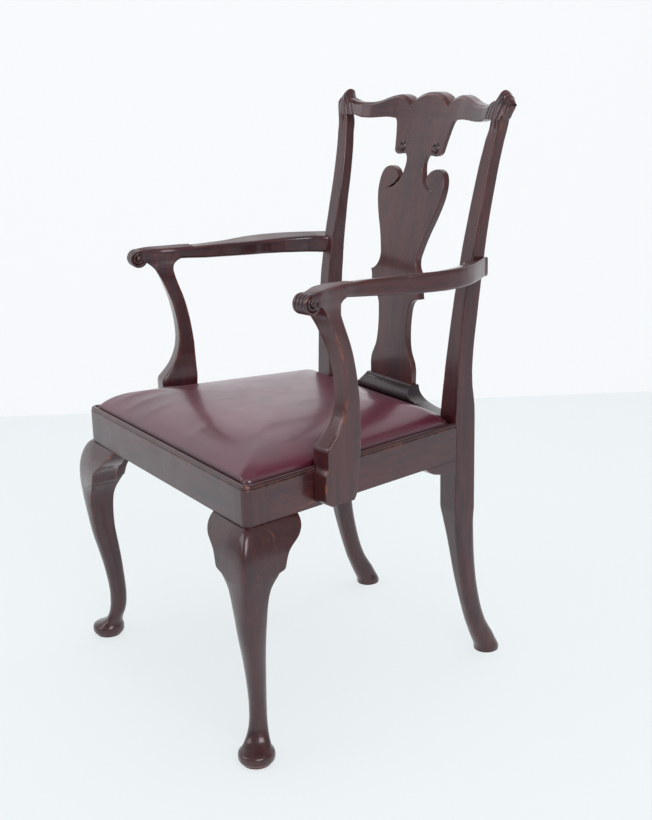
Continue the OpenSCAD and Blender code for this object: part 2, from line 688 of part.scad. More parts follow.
// Depth, then outer and inner edge measured from the side rail's face, and the outer and
// inner top and the outer and inner underside measured from the arm's height
arm_table = [
    [115, 32.6, 5, -4, -4.4, -20, -20], [119, 31.8, 3, -3.4, -4.4, -20.5, -20.5],
    [124, 30.8, 0, -3.2, -4.5, -21, -21], [135, 28.4, -6.5, -3.4, -4.5, -22.5, -22.5],
    [150, 25.9, -12, -3.5, -4.5, -23.5, -23.5], [170, 22.4, -13.4, -3, -4.5, -23, -23.5],
    [190, 19.5, -10.8, -2.5, -4.5, -23.5, -24.5], [210, 16.7, -7.6, -2.5, -5, -26, -26],
    [230, 18.1, -4.4, -2.2, -5.2, -28, -27.5], [250, 21.8, -0.2, -1.7, -5.8, -29.5, -28.5],
    [270, 27, 4, -1.5, -6.5, -30.7, -29.5], [290, 33.7, 7.1, -1, -7.1, -31.5, -30.5],
    [310, 42.3, 10.3, -0.5, -7.5, -31.8, -31.5], [330, 50.5, 14, -0.2, -7.8, -32, -32.5],
    [350, 56.2, 18.7, -0.2, -8, -32.1, -33.3], [370, 58.9, 21.4, 0, -8, -32.5, -34.3],
    [390, 59, 21.5, 0, -7.7, -32.6, -35], [410, 56.5, 19.7, 0, -7.4, -32.4, -36],
    [430, 50.9, 15.4, 0, -7.1, -31.9, -36.6], [444, 44.8, 9.5, 0, -6.9, -31.8, -37],
    [456, 38.7, -2, 0, -6.6, -31.8, -37], [466, 33.4, -6, 0, -6.6, -31.8, -37],
    [478, 26.8, -6, 0, -6.6, -32, -37], [488, 18, -6, -0.5, -6.6, -32, -37],
    [492, 13, -6, -1, -6.6, -32, -37]];
arm_z = seat_h + arm_rise;
arm_edge_r = 5;
// The arm is stretched to end at the post's back edge
arm_share = arm_rise / post_rise;
arm_back_y = seat_depth + at(post_table, 3, arm_share * post_drawn) * post_rake
    + at(post_table, 4, arm_share * post_drawn) * post_d - 1;
// Where the scroll stood when the arm and its support were drawn
scroll_y_drawn = 115;
function arm_y(y) = scroll_y + (y - arm_table[0][0]) * (arm_back_y - scroll_y) / (492 - arm_table[0][0]);

// Anticlockwise seen from behind: outer top, inner top, inner underside, outer underside
function arm_ring(row) = let (y = arm_y(row[0]), x = rail_x(y), xo = x + row[1], xi = x + row[2],
        w = xo - xi, r = min(arm_edge_r, w / 4),
        corners = [[xo, row[3], 0], [xi, row[4], 90], [xi, row[6], 180], [xo, row[5], 270]],
        towards = [[-1, -1], [1, -1], [1, 1], [-1, 1]],
        flat = flatten([for (i = [0:3]) [for (k = [0:3]) let (a = corners[i][2] + 30 * k)
            [corners[i][0] + towards[i][0] * r + r * cos(a),
                corners[i][1] + towards[i][1] * r + r * sin(a)]]]))
    [for (i = [len(flat) - 1:-1:0]) [flat[i][0], y, arm_z + flat[i][1]]];

module arm() {
    color(mahogany) difference() {
        union() {
            skin([for (row = arm_table) arm_ring(row)]);
            arm_scroll();
        }
        post_blank(joint_fit);
        arm_screw(joint_fit);
        support_dowel(joint_fit);
        support_blank(0.02);
    }
}

// The rolled end, a cylinder across the arm with a raised eye on each face. It turns
// outwards with the arm.
scroll_w = 29;
scroll_turn = 9.5;
scroll_outer = 33;
scroll_drop = 3.5;
module arm_scroll() {
    eye = scroll_r * 0.36;
    translate([rail_x(scroll_y) + scroll_outer, scroll_y, arm_z - scroll_drop - scroll_r])
        rotate([0, 0, scroll_turn]) rotate([0, -90, 0]) {
            cylinder(r = scroll_r, h = scroll_w, $fn = 48);
            translate([0, 0, -1]) cylinder(r = eye, h = scroll_w + 2, $fn = 32);
        }
}

// Height drawn for a seat at 440, front and back edge, centre from the rail's face, thickness, twist
support_table = [
    [-59, 142, 189, 14, 1, 0], [-50, 130.5, 194, 14, 1, 0], [-13, 131.5, 199, 14, 1, 0],
    [1, 136.4, 201, 10.5, 1.25, 0], [24, 136.4, 203, 10.5, 1.25, 0], [29, 137.4, 203.4, 10.7, 1.24, 0],
    [36, 143.6, 203.8, 11.4, 1.19, 0], [49, 155.5, 204, 12.8, 1.08, 0], [60, 163, 204, 13.5, 1.04, 0],
    [73, 169, 203.6, 14, 1, 0],
    [90, 173.6, 203, 14, 1, 0], [106, 175, 201.4, 14, 1, 0.5], [125, 174, 199, 13.8, 1, 1],
    [145, 171, 195.5, 13.4, 1.02, 2], [163, 167, 191.4, 12.8, 1.06, 3.5], [180, 161.6, 186.6, 11.8, 1.1, 5],
    [195, 155.6, 181, 10.6, 1.15, 7], [210, 149, 175.6, 9, 1.2, 9], [223, 142, 170.8, 7.2, 1.26, 10],
    [232, 137, 169.4, 6.4, 1.3, 11], [239, 131, 170.8, 6, 1.32, 11.5], [244, 124, 174, 6, 1.33, 12],
    [248, 117, 179, 6, 1.33, 12]];
support_top_drawn = 248;
// How far under the arm's height the support ends
support_drop = 23;

// Heights above the seat stretch with the arm; those below stay on the rail
function support_z(h) = h <= 30 ? (h < -20 ? rail_bottom + support_lift + (h + 59) : seat_h + h)
    : mix(seat_h + 30, arm_z - support_drop, (h - 30) / (support_top_drawn - 30));
function support_ring(row, g) = let (
        yc = (row[1] + row[2]) / 2 + scroll_y - scroll_y_drawn, half = (row[2] - row[1]) / 2 + g,
        t = support_t * row[4] / 2 + g, proud = row[3] * support_t / 27.6, a = splay + row[5],
        xc = rail_x(yc) + proud / cos(splay))
    [for (p = round_box(-t, -half, t, half, 3, 2))
        [xc + p[0] * cos(a) - p[1] * sin(a), yc + p[0] * sin(a) + p[1] * cos(a), support_z(row[0])]];

module support_blank(g = 0) {
    skin([for (row = support_table) support_ring(row, g)]);
}

module arm_support() {
    color(mahogany) difference() {
        union() {
            support_blank();
            support_dowel(0);
        }
        rail_side_cut();
        support_screws(joint_fit);
    }
}

// The side rail and its lip, which the support is notched over and screwed to
module rail_side_cut() {
    along_side_rail() cube([side_rail_l, rail_t, seat_h]);
}

// Round tenon on top of the support, in a bore in the arm
dowel_r = 7;
dowel_l = 17;
dowel_y_drawn = 147;
module support_dowel(g) {
    y = arm_y(dowel_y_drawn);
    translate([rail_x(y) + dowel_r, y, arm_z - support_drop - dowel_r - g])
        cylinder(r = dowel_r + g, h = dowel_l + 2 * g, $fn = 32);
}

// Two screws through the side rail into each support, ending this far inside its face
screw_tip_cover = 10;
module support_screws(g) {
    for (p = [[158, 0.34], [182, 0.66]])
        along_side_rail()
            translate([p[0] + scroll_y - scroll_y_drawn, rail_t, rail_bottom + rail_h * p[1] - 6])
            rotate([90, 0, 0]) wood_screw(rail_t + support_t - screw_tip_cover, g);
}

module arm_support_screws() {
    color(steel) on_both() support_screws(0);
}

// Screw through a rear post into the end of its arm: its place behind the post's face, its
// depth under the arm's height and how far it bites into the arm
arm_screw_back = 10;
arm_screw_drop = 19;
arm_screw_bite = 8;
module arm_screw(g) {
    x = seat_rear_w / 2 + at(post_table, 1, arm_share * post_drawn) * post_flare;
    y = seat_depth + at(post_table, 3, arm_share * post_drawn) * post_rake + arm_screw_back;
    w = at(post_table, 2, arm_share * post_drawn) * post_w;
    translate([x - w, y, arm_z - arm_screw_drop]) rotate([0, 90, 0]) wood_screw(w + arm_screw_bite, g);
}

module arm_screws() {
    color(steel) on_both() arm_screw(0);
}

// ---------------------------------------------------------------- drop-in seat

seat_inset = lip_w + seat_gap;
frame_inset = seat_inset + leather_t;
seat_back = seat_depth - 6;
frame_z = ledge_z + leather_t;
frame_top = frame_z + frame_t;

// The seat frame's plan clipped to the strip given, halved where two strips cross
module frame_member(z, h) {
    intersection() {
        plan_slab(frame_inset, seat_back - leather_t, z, h);
        children();
    }
}

module front_strip() {
    translate([-seat_front_w, 0, 0]) cube([2 * seat_front_w, frame_inset + frame_w, seat_h]);
}

module back_strip() {
    translate([-seat_front_w, seat_back - leather_t - frame_w, 0])
        cube([2 * seat_front_w, seat_depth, seat_h]);
}

module side_strip(g = 0) {
    along_side_rail() translate([-seat_depth, -g, 0])
        cube([3 * seat_depth, frame_inset + frame_w + g, seat_h]);
}

module lapped_cross_member() {
    difference() {
        frame_member(frame_z, frame_t) children();
        on_both() intersection() {
            side_strip(seat_depth);
            translate([0, 0, frame_z - 1]) cube([seat_front_w, 2 * seat_depth, frame_t / 2 + 1]);
        }
    }
}

module seat_frame_front() {
    color(beech) difference() {
        lapped_cross_member() front_strip();
        cover_tack_set(joint_fit);
    }
}

module seat_frame_back() {
    color(beech) difference() {
        lapped_cross_member() back_strip();
        cover_tack_set(joint_fit);
    }
}

module seat_frame_side() {
    color(beech) difference() {
        frame_member(frame_z, frame_t) side_strip();
        translate([0, 0, frame_z + frame_t / 2]) {
            front_strip();
            back_strip();
        }
        cover_tack_set(joint_fit);
    }
}

web_t = 2;
hessian_t = 1;

module webbing_front_to_back() {
    count = 4;
    pitch = (seat_rear_w - 2 * frame_inset - 2 * frame_w) / (count - 0.6);
    color(jute) for (i = [0:count - 1])
        translate([(i - (count - 1) / 2) * pitch - web_w / 2, frame_inset + 12, frame_top])
        cube([web_w, seat_back - frame_inset - 24 - leather_t, web_t]);
}

module webbing_side_to_side() {
    count = 4;
    pitch = (seat_back - frame_inset - 2 * frame_w) / (count - 0.4);
    color(jute) for (i = [0:count - 1]) {
        y = seat_back / 2 + (i - (count - 1) / 2) * pitch;
        half = rail_x(y) - frame_inset / cos(splay) - 16;
        translate([-half, y - web_w / 2, frame_top + web_t]) cube([2 * half, web_w, web_t]);
    }
}

module hessian() {
    color(linen) plan_slab(frame_inset + 10, seat_back - 12, frame_top + 2 * web_t, hessian_t);
}

// The pad's dome: how far in from the edge, and its height's share of the crown
dome = [[0, 0], [1, 0.08], [3, 0.17], [8, 0.355], [15, 0.525], [24, 0.655], [36, 0.75], [55, 0.84],
    [80, 0.905], [120, 0.96], [165, 1]];

module stuffing() {
    base = frame_top + 2 * web_t + hessian_t;
    color(linen) intersection() {
        leather_form(leather_t + pad_gap);
        plan_slab(frame_inset + pad_gap, seat_depth, base, crown_h);
    }
}
pad_gap = 0.2;

// The leather: down the frame's sides and turned under it, over the dome of the pad
module leather_cover() {
    color(oxblood) difference() {
        leather_form(0);
        leather_form(leather_t);
        turned_edge_opening(ledge_z - 1, leather_t + 2);
        cover_tack_set(joint_fit);
    }
}

module turned_edge_opening(z, h) {
    plan_slab(frame_inset + leather_turn, seat_back - leather_t - leather_turn, z, h);
}
leather_turn = 16;
// Height of the cover's upright edge above the frame, under the dome
cover_edge = 5;
dome_start = 0.4;

// The cover's outside, or its inside when it is thinned by d
module leather_form(d) {
    skin(concat(
        [for (z = [ledge_z + d, frame_top + 1]) raised(seat_plan(seat_inset + d, seat_back - d), z)],
        [for (p = dome) let (in = d + p[0] + dome_start * (p[0] > 0 ? 1 : 0.5))
            raised(seat_plan(seat_inset + in, seat_back - in),
                mix(frame_top + cover_edge, frame_top + crown_h, p[1]) - d)]));
}

module dust_cover() {
    inset = frame_inset + leather_turn + 1;
    color(linen) plan_slab(inset, seat_back - inset + seat_inset, frame_z - dust_t, dust_t);
}
dust_t = 0.8;

// Tacks through the turned-under leather into the frame
module cover_tacks() {
    color(steel) cover_tack_set(0);
}

module cover_tack_set(g) {
    for (i = [-3:3]) {
        translate([i * seat_front_w / 9.3, frame_inset + 8, ledge_z]) tack(g);
        translate([i * seat_rear_w / 8.7, seat_back - leather_t - 8, ledge_z]) tack(g);
    }
}

module tack(g) {
    cylinder(r = 2.4 + g, h = 0.6 + g, $fn = 16);
    cylinder(r = 0.7 + g, h = 9 + g, $fn = 13);
}

// ---------------------------------------------------------------- the chair

// Footprint that the part's frame is centred on
chair_front = min([for (row = leg_table, p = leg_ring(row))
    foot_y + p[0] * sin(leg_turn) + p[1] * cos(leg_turn)]);
chair_back = max([for (p = crest_section(0)) p[1]]);
chair_centre = (min(chair_front, -knee_out) + max(chair_back, rear_foot_y + rear_foot_r)) / 2;

// Moves the chair frame's origin to the middle of the footprint
module placed() {
    translate([0, -chair_centre, 0]) children();
}

placed() front_leg();  // front_leg_right
placed() on_left() front_leg();  // front_leg_left
placed() rear_post();  // rear_post_right
placed() on_left() rear_post();  // rear_post_left
placed() front_rail();
placed() side_rail();  // side_rail_right
placed() on_left() side_rail();  // side_rail_left
placed() rear_rail();
placed() rear_seat_ledge();
placed() rail_lip_front();
placed() rail_lip_side();  // rail_lip_right
placed() on_left() rail_lip_side();  // rail_lip_left
placed() knee_bracket_front();  // knee_bracket_front_right
placed() on_left() knee_bracket_front();  // knee_bracket_front_left
placed() knee_bracket_side();  // knee_bracket_side_right
placed() on_left() knee_bracket_side();  // knee_bracket_side_left
placed() rear_bracket();  // rear_bracket_right
placed() on_left() rear_bracket();  // rear_bracket_left
placed() corner_block_front();  // corner_block_front_right
placed() on_left() corner_block_front();  // corner_block_front_left
placed() corner_block_rear();  // corner_block_rear_right
placed() on_left() corner_block_rear();  // corner_block_rear_left
placed() corner_block_screws();
placed() shoe();
placed() splat();
placed() crest_rail();
placed() arm();  // arm_right
placed() on_left() arm();  // arm_left
placed() arm_support();  // arm_support_right
placed() on_left() arm_support();  // arm_support_left
placed() arm_support_screws();
placed() arm_screws();
placed() seat_frame_front();
placed() seat_frame_back();
placed() seat_frame_side();  // seat_frame_right
placed() on_left() seat_frame_side();  // seat_frame_left
placed() webbing_front_to_back();
placed() webbing_side_to_side();
placed() hessian();
placed() stuffing();
placed() leather_cover();
placed() dust_cover();
placed() cover_tacks();
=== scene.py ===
import math

import bmesh
import bpy
import numpy as np
from bpy.props import FloatProperty, FloatVectorProperty, PointerProperty, StringProperty
from mathutils import Matrix, Vector


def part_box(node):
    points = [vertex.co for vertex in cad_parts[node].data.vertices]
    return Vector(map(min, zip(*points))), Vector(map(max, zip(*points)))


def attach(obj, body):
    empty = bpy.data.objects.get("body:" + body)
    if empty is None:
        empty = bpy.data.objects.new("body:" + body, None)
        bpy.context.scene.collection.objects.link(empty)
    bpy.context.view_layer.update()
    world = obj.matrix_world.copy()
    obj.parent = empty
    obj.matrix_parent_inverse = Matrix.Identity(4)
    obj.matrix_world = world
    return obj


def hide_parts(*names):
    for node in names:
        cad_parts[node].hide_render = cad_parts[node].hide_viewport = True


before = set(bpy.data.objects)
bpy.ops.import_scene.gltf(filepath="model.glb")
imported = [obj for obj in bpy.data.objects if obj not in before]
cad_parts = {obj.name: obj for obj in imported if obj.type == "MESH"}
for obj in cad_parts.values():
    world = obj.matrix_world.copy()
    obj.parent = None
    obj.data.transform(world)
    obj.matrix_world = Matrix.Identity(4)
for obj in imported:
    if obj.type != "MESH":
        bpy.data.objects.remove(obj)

bl_info = {
    "name": "Queen Anne Armchair",
    "version": (1, 0, 0),
    "blender": (4, 5, 0),
    "location": "View3D > Sidebar > Armchair",
    "description": "Carves and polishes the armchair's mahogany and upholsters its drop-in seat",
    "category": "Object",
}

# ------------------------------------------------------------------ places, in millimetres
# The chair frame has its floor at Z = 0 and the front rail's face at Y = 0.

MM = 0.001


def edge_of(node, end, axis):
    """The lowest (end 0) or highest (end 1) X, Y or Z of a CAD node, in millimetres."""
    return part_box(node)[end][axis] / MM


RAIL_FACE = edge_of("front_rail", 0, 1)
RAIL_BOTTOM = edge_of("front_rail", 0, 2)
RAIL_TOP = edge_of("front_rail", 1, 2)
SEAT_TOP = edge_of("rail_lip_front", 1, 2)
FRONT_HALF = 279.0
SEAT_DEPTH = edge_of("rail_lip_right", 1, 1) - RAIL_FACE
LEDGE = edge_of("leather_cover", 0, 2)
CREST_JOINT = edge_of("rear_post_right", 1, 2)
REAR_HALF = 209.0
SPLAY = math.atan((FRONT_HALF - REAR_HALF) / SEAT_DEPTH)
POST_W = 44.0
POST_D = 41.0
POST_RAKE = 70.5
POST_FLARE = 18.5
LIP_W = 8.0
CORNER_R = 12.0
STILE = 45.0
ARM_TOP = SEAT_TOP + 271.0
SCROLL_Y = 115.0
SCROLL_R = 15.6
SPLAT_T = 13.0
SHOE_H = 33.0


def rail_x(y):
    """X of the right side rail's outer face at the depth y."""
    return FRONT_HALF - y * math.tan(SPLAY)


# ------------------------------------------------------------------ number work


def smoothstep(low, high, value):
    """0 below low, 1 above high and an eased cubic, 3t^2 - 2t^3, between them."""
    t = np.clip((np.asarray(value, float) - low) / (high - low), 0, 1)
    return t * t * (3 - 2 * t)


def cubic(table, grade, i, h, t):
    """The cubic from row i of a table to the next: the two rows, the slopes there, the
    step h between them and the share t of it."""
    return (table[i] * (2 * t**3 - 3 * t**2 + 1) + grade[i] * h * (t**3 - 2 * t**2 + t)
            + table[i + 1] * (3 * t**2 - 2 * t**3) + grade[i + 1] * h * (t**3 - t**2))


def eased(table, at):
    """Columns of a table at new places along its first column: cubics between the rows,
    whose slope at a row is the harmonic mean of its neighbours', so nothing overshoots."""
    table = np.asarray(table, float)
    at = np.asarray(at, float)
    x, y = table[:, 0], table[:, 1:]
    step = np.diff(x)[:, None]
    slope = np.diff(y, axis=0) / step
    product, total = slope[1:] * slope[:-1], slope[1:] + slope[:-1]
    inner = np.where(product > 0, 2 * product / np.where(product > 0, total, 1), 0)
    grade = np.vstack([slope[:1], inner, slope[-1:]])
    i = np.clip(np.searchsorted(x, at, side="right") - 1, 0, len(x) - 2)
    h = step[i]
    return cubic(y, grade, i, h, np.clip((at - x[i]) / h[:, 0], 0, 1)[:, None])


def eased_column(table, at):
    """The second column of a table, eased, at places in an array of any shape."""
    at = np.asarray(at, float)
    return eased(table, at.ravel())[:, 0].reshape(at.shape)


def runs(start, *stops):
    """Places from start to each stop in turn; a stop is its place and the even steps to it."""
    places = [[start]]
    for stop, steps in stops:
        places.append(np.linspace(places[-1][-1], stop, steps + 1)[1:])
    return np.concatenate(places)


def scallops(across, count):
    """Heights from 0 in the grooves to 1 on the ridges of count rounded reeds over 0 to 1:
    the square root of |sin|, which gives round ridges and sharp grooves."""
    return np.sqrt(np.abs(np.sin(np.pi * count * np.clip(across, 0, 1))))


def rounded_rings(low, high, radius, arc=6, sides=(2, 2, 2, 2)):
    """Anticlockwise rectangles with rounded corners, one for each row: four quarter circles
    about the corners' centres, joined by straight sides (back, left, front, right). The
    radius is one for each row, or one for each row and corner."""
    middle, half = (low + high) / 2, (high - low) / 2
    radius = radius.reshape(len(low), -1) * np.ones(4)
    signs = np.array([[1, 1], [-1, 1], [-1, -1], [1, -1]])
    arcs = []
    for q in range(4):
        turn = np.radians(90 * q + np.linspace(0, 90, arc))
        round_by = radius[:, q, None]
        centre = middle + signs[q] * (half - round_by)
        quarter = np.stack([np.cos(turn), np.sin(turn)], -1)
        arcs.append(centre[:, None] + round_by[..., None] * quarter)
    parts = []
    for q in range(4):
        share = np.linspace(0, 1, sides[q] + 1)[1:-1][None, :, None]
        start, end = arcs[q][:, -1:], arcs[(q + 1) % 4][:, :1]
        parts += [arcs[q], start + (end - start) * share]
    return np.concatenate(parts, axis=1)


def at_heights(x, y, height):
    """Rings of points x, y, one ring at each height."""
    return np.stack([x, y, np.broadcast_to(height[:, None], x.shape)], -1)


def loft(rings):
    """A closed skin through rings of shape (rows, points, 3): quads between neighbours and
    a fan to the middle of each end ring. Returns points and lists of faces."""
    rows, n = rings.shape[:2]
    i = np.arange(rows - 1)[:, None] * n
    j = np.arange(n)[None]
    k = (j + 1) % n
    quads = np.stack(np.broadcast_arrays(i + j, i + k, i + n + k, i + n + j), -1).reshape(-1, 4)
    points = np.vstack([rings.reshape(-1, 3), rings[0].mean(0), rings[-1].mean(0)])
    j, k = j[0], k[0]
    base = rows * n
    first = np.stack([k, j, np.full(n, base)], -1)
    last = np.stack([j + base - n, k + base - n, np.full(n, base + 1)], -1)
    return points, quads.tolist() + first.tolist() + last.tolist()


def prism(outline, low, high):
    """An upright prism on an anticlockwise outline, with an n-sided face at each end."""
    outline = np.asarray(outline, float)
    n = len(outline)
    points = np.vstack([np.column_stack([outline, np.full(n, z)]) for z in (low, high)])
    sides = [[i, (i + 1) % n, n + (i + 1) % n, n + i] for i in range(n)]
    return points, [list(range(n))[::-1], list(range(n, 2 * n))] + sides


def stacked(shapes):
    """Several (points, faces) shapes as one."""
    points, faces = [], []
    for some, theirs in shapes:
        start = sum(len(p) for p in points)
        points.append(some)
        faces += [[start + i for i in face] for face in theirs]
    return np.vstack(points), faces


def left_hand(shape):
    """The mirror image of a right-hand shape in the chair's centre plane."""
    points, faces = shape
    return points * [-1, 1, 1], [face[::-1] for face in faces]


# ------------------------------------------------------------------ meshes
WIDE_FACE = 25.0  # square millimetres
TINY_EDGE = 0.01  # square of a length in millimetres
# Bends, one over millimetres, at which an edge starts to be rubbed and is bare, and at which
# a hollow starts to hold wax and is full of it
RUBBED = 1 / 5, 1 / 1.6
WAXED = 1 / 6, 1 / 1.2


def points_of(mesh, kind="co"):
    """The places of a mesh's points in metres, or another vector that each point has."""
    flat = np.empty(len(mesh.vertices) * 3)
    mesh.vertices.foreach_get(kind, flat)
    return flat.reshape(-1, 3)


def in_scene(name, data):
    """A new object of that data, linked to the scene."""
    item = bpy.data.objects.new(name, data)
    bpy.context.scene.collection.objects.link(item)
    return item


def bends_of(mesh):
    """The greatest and the least bend of the surface at each point, (n2 - n1).(p2 - p1) /
    |p2 - p1|^2 towards a neighbour: one over the radius, positive on edges and negative in
    hollows. The points of a wide face count as flat, so both keep to edges and grooves."""
    place, normal = points_of(mesh) / MM, points_of(mesh, "normal")
    ends = np.empty(len(mesh.edges) * 2, int)
    mesh.edges.foreach_get("vertices", ends)
    a, b = ends.reshape(-1, 2).T
    along = place[b] - place[a]
    bend = ((normal[b] - normal[a]) * along).sum(1) / np.maximum((along**2).sum(1), TINY_EDGE)
    most, least = np.zeros(len(place)), np.zeros(len(place))
    for end in (a, b):
        np.maximum.at(most, end, bend)
        np.minimum.at(least, end, bend)
    for face in mesh.polygons:
        if face.area > WIDE_FACE * MM**2:
            most[face.vertices] = least[face.vertices] = 0
    return most, least, place - [0, RAIL_FACE, 0]


def finished(mesh, name, body, material, replaced, sharp=38, unworn=None, touched=1):
    """Makes a piece from a mesh: smooth faces with sharp edges past an angle, how far its
    edges are rubbed and its hollows hold old wax, its material, the body it rides on and
    the CAD nodes it stands for. unworn tells which points are at a joint and keep clean,
    and touched is the share of the full wear, one for all points or one for each."""
    mesh.update()
    mesh.validate()
    mesh.shade_smooth()
    mesh.set_sharp_from_angle(angle=math.radians(sharp))
    most, least, place = bends_of(mesh)
    unmarked = unworn(*place.T) if unworn else np.zeros(len(place), bool)
    share = touched(*place.T) if callable(touched) else touched
    for mark, value in (("wear", np.minimum(smoothstep(*RUBBED, most) * share, 1)),
                        ("hollow", smoothstep(*WAXED, -least))):
        values = mesh.attributes.new(mark, "FLOAT", "POINT").data
        values.foreach_set("value", np.where(unmarked, 0, value))
    mesh.materials.clear()
    mesh.materials.append(material)
    piece = in_scene(name, mesh)
    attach(piece, body)
    if replaced:
        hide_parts(*replaced)
    return piece


def new_mesh(name, shape):
    """A mesh of a shape in the chair frame's millimetres, moved into the part's frame, with
    its doubled points joined and its faces turned outwards."""
    points, faces = shape
    mesh = bpy.data.meshes.new(name)
    mesh.from_pydata(((points + [0, RAIL_FACE, 0]) * MM).tolist(), [], faces)
    work = bmesh.new()
    work.from_mesh(mesh)
    bmesh.ops.remove_doubles(work, verts=work.verts, dist=1e-6)
    bmesh.ops.recalc_face_normals(work, faces=work.faces)
    work.to_mesh(mesh)
    work.free()
    return mesh


def softened(node, radius, segments=3, angle=32):
    """A merged copy of a CAD node's mesh with its edges rounded: the doubles go, flat
    faces join, and each edge that turns by more than the angle gets a round bevel."""
    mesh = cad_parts[node].data.copy()
    work = bmesh.new()
    work.from_mesh(mesh)
    bmesh.ops.remove_doubles(work, verts=work.verts, dist=2e-6)
    bmesh.ops.dissolve_limit(work, angle_limit=math.radians(1), verts=work.verts, edges=work.edges)
    limit = math.radians(angle)
    edges = [e for e in work.edges if len(e.link_faces) == 2 and e.calc_face_angle(0) > limit]
    bmesh.ops.bevel(work, geom=edges, offset=radius * MM, offset_type="OFFSET", segments=segments,
                    profile=0.5, affect="EDGES", clamp_overlap=True)
    bmesh.ops.triangulate(work, faces=[f for f in work.faces if len(f.verts) > 4])
    work.to_mesh(mesh)
    work.free()
    return mesh


# ------------------------------------------------------------------ materials


def linear(colour):
    """An sRGB hex value such as "#4A2226" as linear red, green, blue and alpha."""
    code = colour.lstrip("#")
    parts = [int(code[i:i + 2], 16) / 255 for i in (0, 2, 4)]
    return [c / 12.92 if c <= 0.04045 else ((c + 0.055) / 1.055) ** 2.4 for c in parts] + [1.0]

def feed(tree, node, inputs):
    """Gives inputs of a node, by name or number, a value or the socket that feeds them."""
    for key, value in inputs.items():
        if isinstance(value, bpy.types.NodeSocket):
            tree.links.new(value, node.inputs[key])
        else:
            node.inputs[key].default_value = value


def add(tree, kind, settings=None, inputs=None):
    """Adds one node, with its own properties from settings, and feeds its inputs."""
    node = tree.nodes.new(kind)
    for key, value in (settings or {}).items():
        setattr(node, key, value)
    feed(tree, node, inputs or {})
    return node


def noise(tree, place, scale, detail, **more):
    """A cloudy value about 0.5 that changes scale times a metre."""
    return add(tree, "ShaderNodeTexNoise",
               inputs={"Vector": place, "Scale": scale, "Detail": detail, **more}).outputs[0]


def spread(tree, value, low, high, least=0.0, most=1.0):
    """A value carried from low..high to least..most, and held there beyond both ends."""
    ends = {"From Min": low, "From Max": high, "To Min": least, "To Max": most}
    return add(tree, "ShaderNodeMapRange", inputs={"Value": value, **ends}).outputs[0]


def maths(tree, operation, *values):
    """The result of one sum, such as MULTIPLY, on values or sockets."""
    node = add(tree, "ShaderNodeMath", {"operation": operation}, dict(enumerate(values)))
    return node.outputs[0]


def mix(tree, share, first, second):
    """The colour at a share of the way between two, each an sRGB hex value or a socket."""
    first, second = [linear(c) if isinstance(c, str) else c for c in (first, second)]
    node = add(tree, "ShaderNodeMix", {"data_type": "RGBA"}, {0: share, 6: first, 7: second})
    return node.outputs[2]


def mix_shaders(tree, share, first, second):
    """The shader at a share of the way between two."""
    return add(tree, "ShaderNodeMixShader",
               inputs={0: share, 1: first.outputs[0], 2: second.outputs[0]})


def bump(tree, height, strength, distance, **more):
    """A normal tipped by a height, where a height of 1 stands for distance metres."""
    return add(tree, "ShaderNodeBump", inputs={"Strength": strength, "Distance": distance,
                                               "Height": height, **more}).outputs[0]


def drawn_out(tree, place, axis, share):
    """The place with one axis cut to a share, so that what is laid on it runs that way."""
    scale = [1.0, 1.0, 1.0]
    scale[axis] = share
    return add(tree, "ShaderNodeMapping", inputs={"Vector": place, "Scale": scale}).outputs[0]


def blank_material(name):
    """An empty node material with an output and a Principled shader."""
    material = bpy.data.materials.new(name)
    material.use_nodes = True
    tree = material.node_tree
    tree.nodes.clear()
    shader = add(tree, "ShaderNodeBsdfPrincipled")
    add(tree, "ShaderNodeOutputMaterial", inputs={"Surface": shader.outputs["BSDF"]})
    return material, tree, shader


def on_piece(tree):
    """The place on the piece, in metres."""
    return add(tree, "ShaderNodeTexCoord").outputs["Object"]


def polished_mahogany(name, grain, timber, redness=0.5, darkness=0.0):
    """French-polished mahogany: shellac over stained, open-pored wood. Broad ribbons and
    short dark pores run with the grain, edges are rubbed to orange-brown, and the polish
    gives a soft, greyish reflection. grain is the axis (0, 1, 2) that the board runs along."""
    material, tree, shader = blank_material(name)
    place = on_piece(tree)
    ribbon_at, pore_at = [drawn_out(tree, place, grain, 1 / times) for times in (14, 40)]
    ribbon = noise(tree, ribbon_at, 1 / timber.ribbon_width, 5.0, Roughness=0.62, Distortion=0.4)
    cloud = noise(tree, ribbon_at, 1 / (timber.ribbon_width * 5), 2.0)
    pores = noise(tree, pore_at, 1 / timber.pore_width, 2.0, Roughness=0.5)
    smears = noise(tree, place, 1 / timber.smear_width, 3.0)
    rubs = noise(tree, place, 1 / timber.rub_width, 4.0, Roughness=0.65)
    edges, hollows = [add(tree, "ShaderNodeAttribute", {"attribute_name": mark}).outputs["Fac"]
                      for mark in ("wear", "hollow")]
    body = mix(tree, spread(tree, ribbon, 0.36, 0.66), timber.dark, timber.heart)
    warm = mix(tree, spread(tree, cloud, 0.35, 0.68, 0.0, redness), body, timber.red)
    pored = mix(tree, spread(tree, pores, 0.58, 0.7, 0.0, 0.55), warm, timber.pore)
    # darkness mixes the piece towards the pores' colour: a darker tone on most pieces, and on the
    # shoe a painted shade.
    toned_and_shaded = mix(tree, darkness, pored, timber.pore)
    rubbed = maths(tree, "MULTIPLY", edges, spread(tree, rubs, 0.46, 0.66, 0.04, 1.0))
    worn = mix(tree, maths(tree, "MULTIPLY", rubbed, timber.wear), toned_and_shaded, timber.worn)
    waxed = mix(tree, maths(tree, "MULTIPLY", hollows, 0.85), worn, timber.wax)
    feed(tree, shader, {
        "Base Color": waxed,
        "Roughness": spread(tree, smears, 0.3, 0.7, timber.polish - 0.05, timber.polish + 0.07),
        "Normal": bump(tree, pores, 0.25, 0.00012),
        "IOR": 1.55, "Specular Tint": linear("#FFF2FA"),
        "Coat Weight": 0.5, "Coat Roughness": 0.12})
    return material


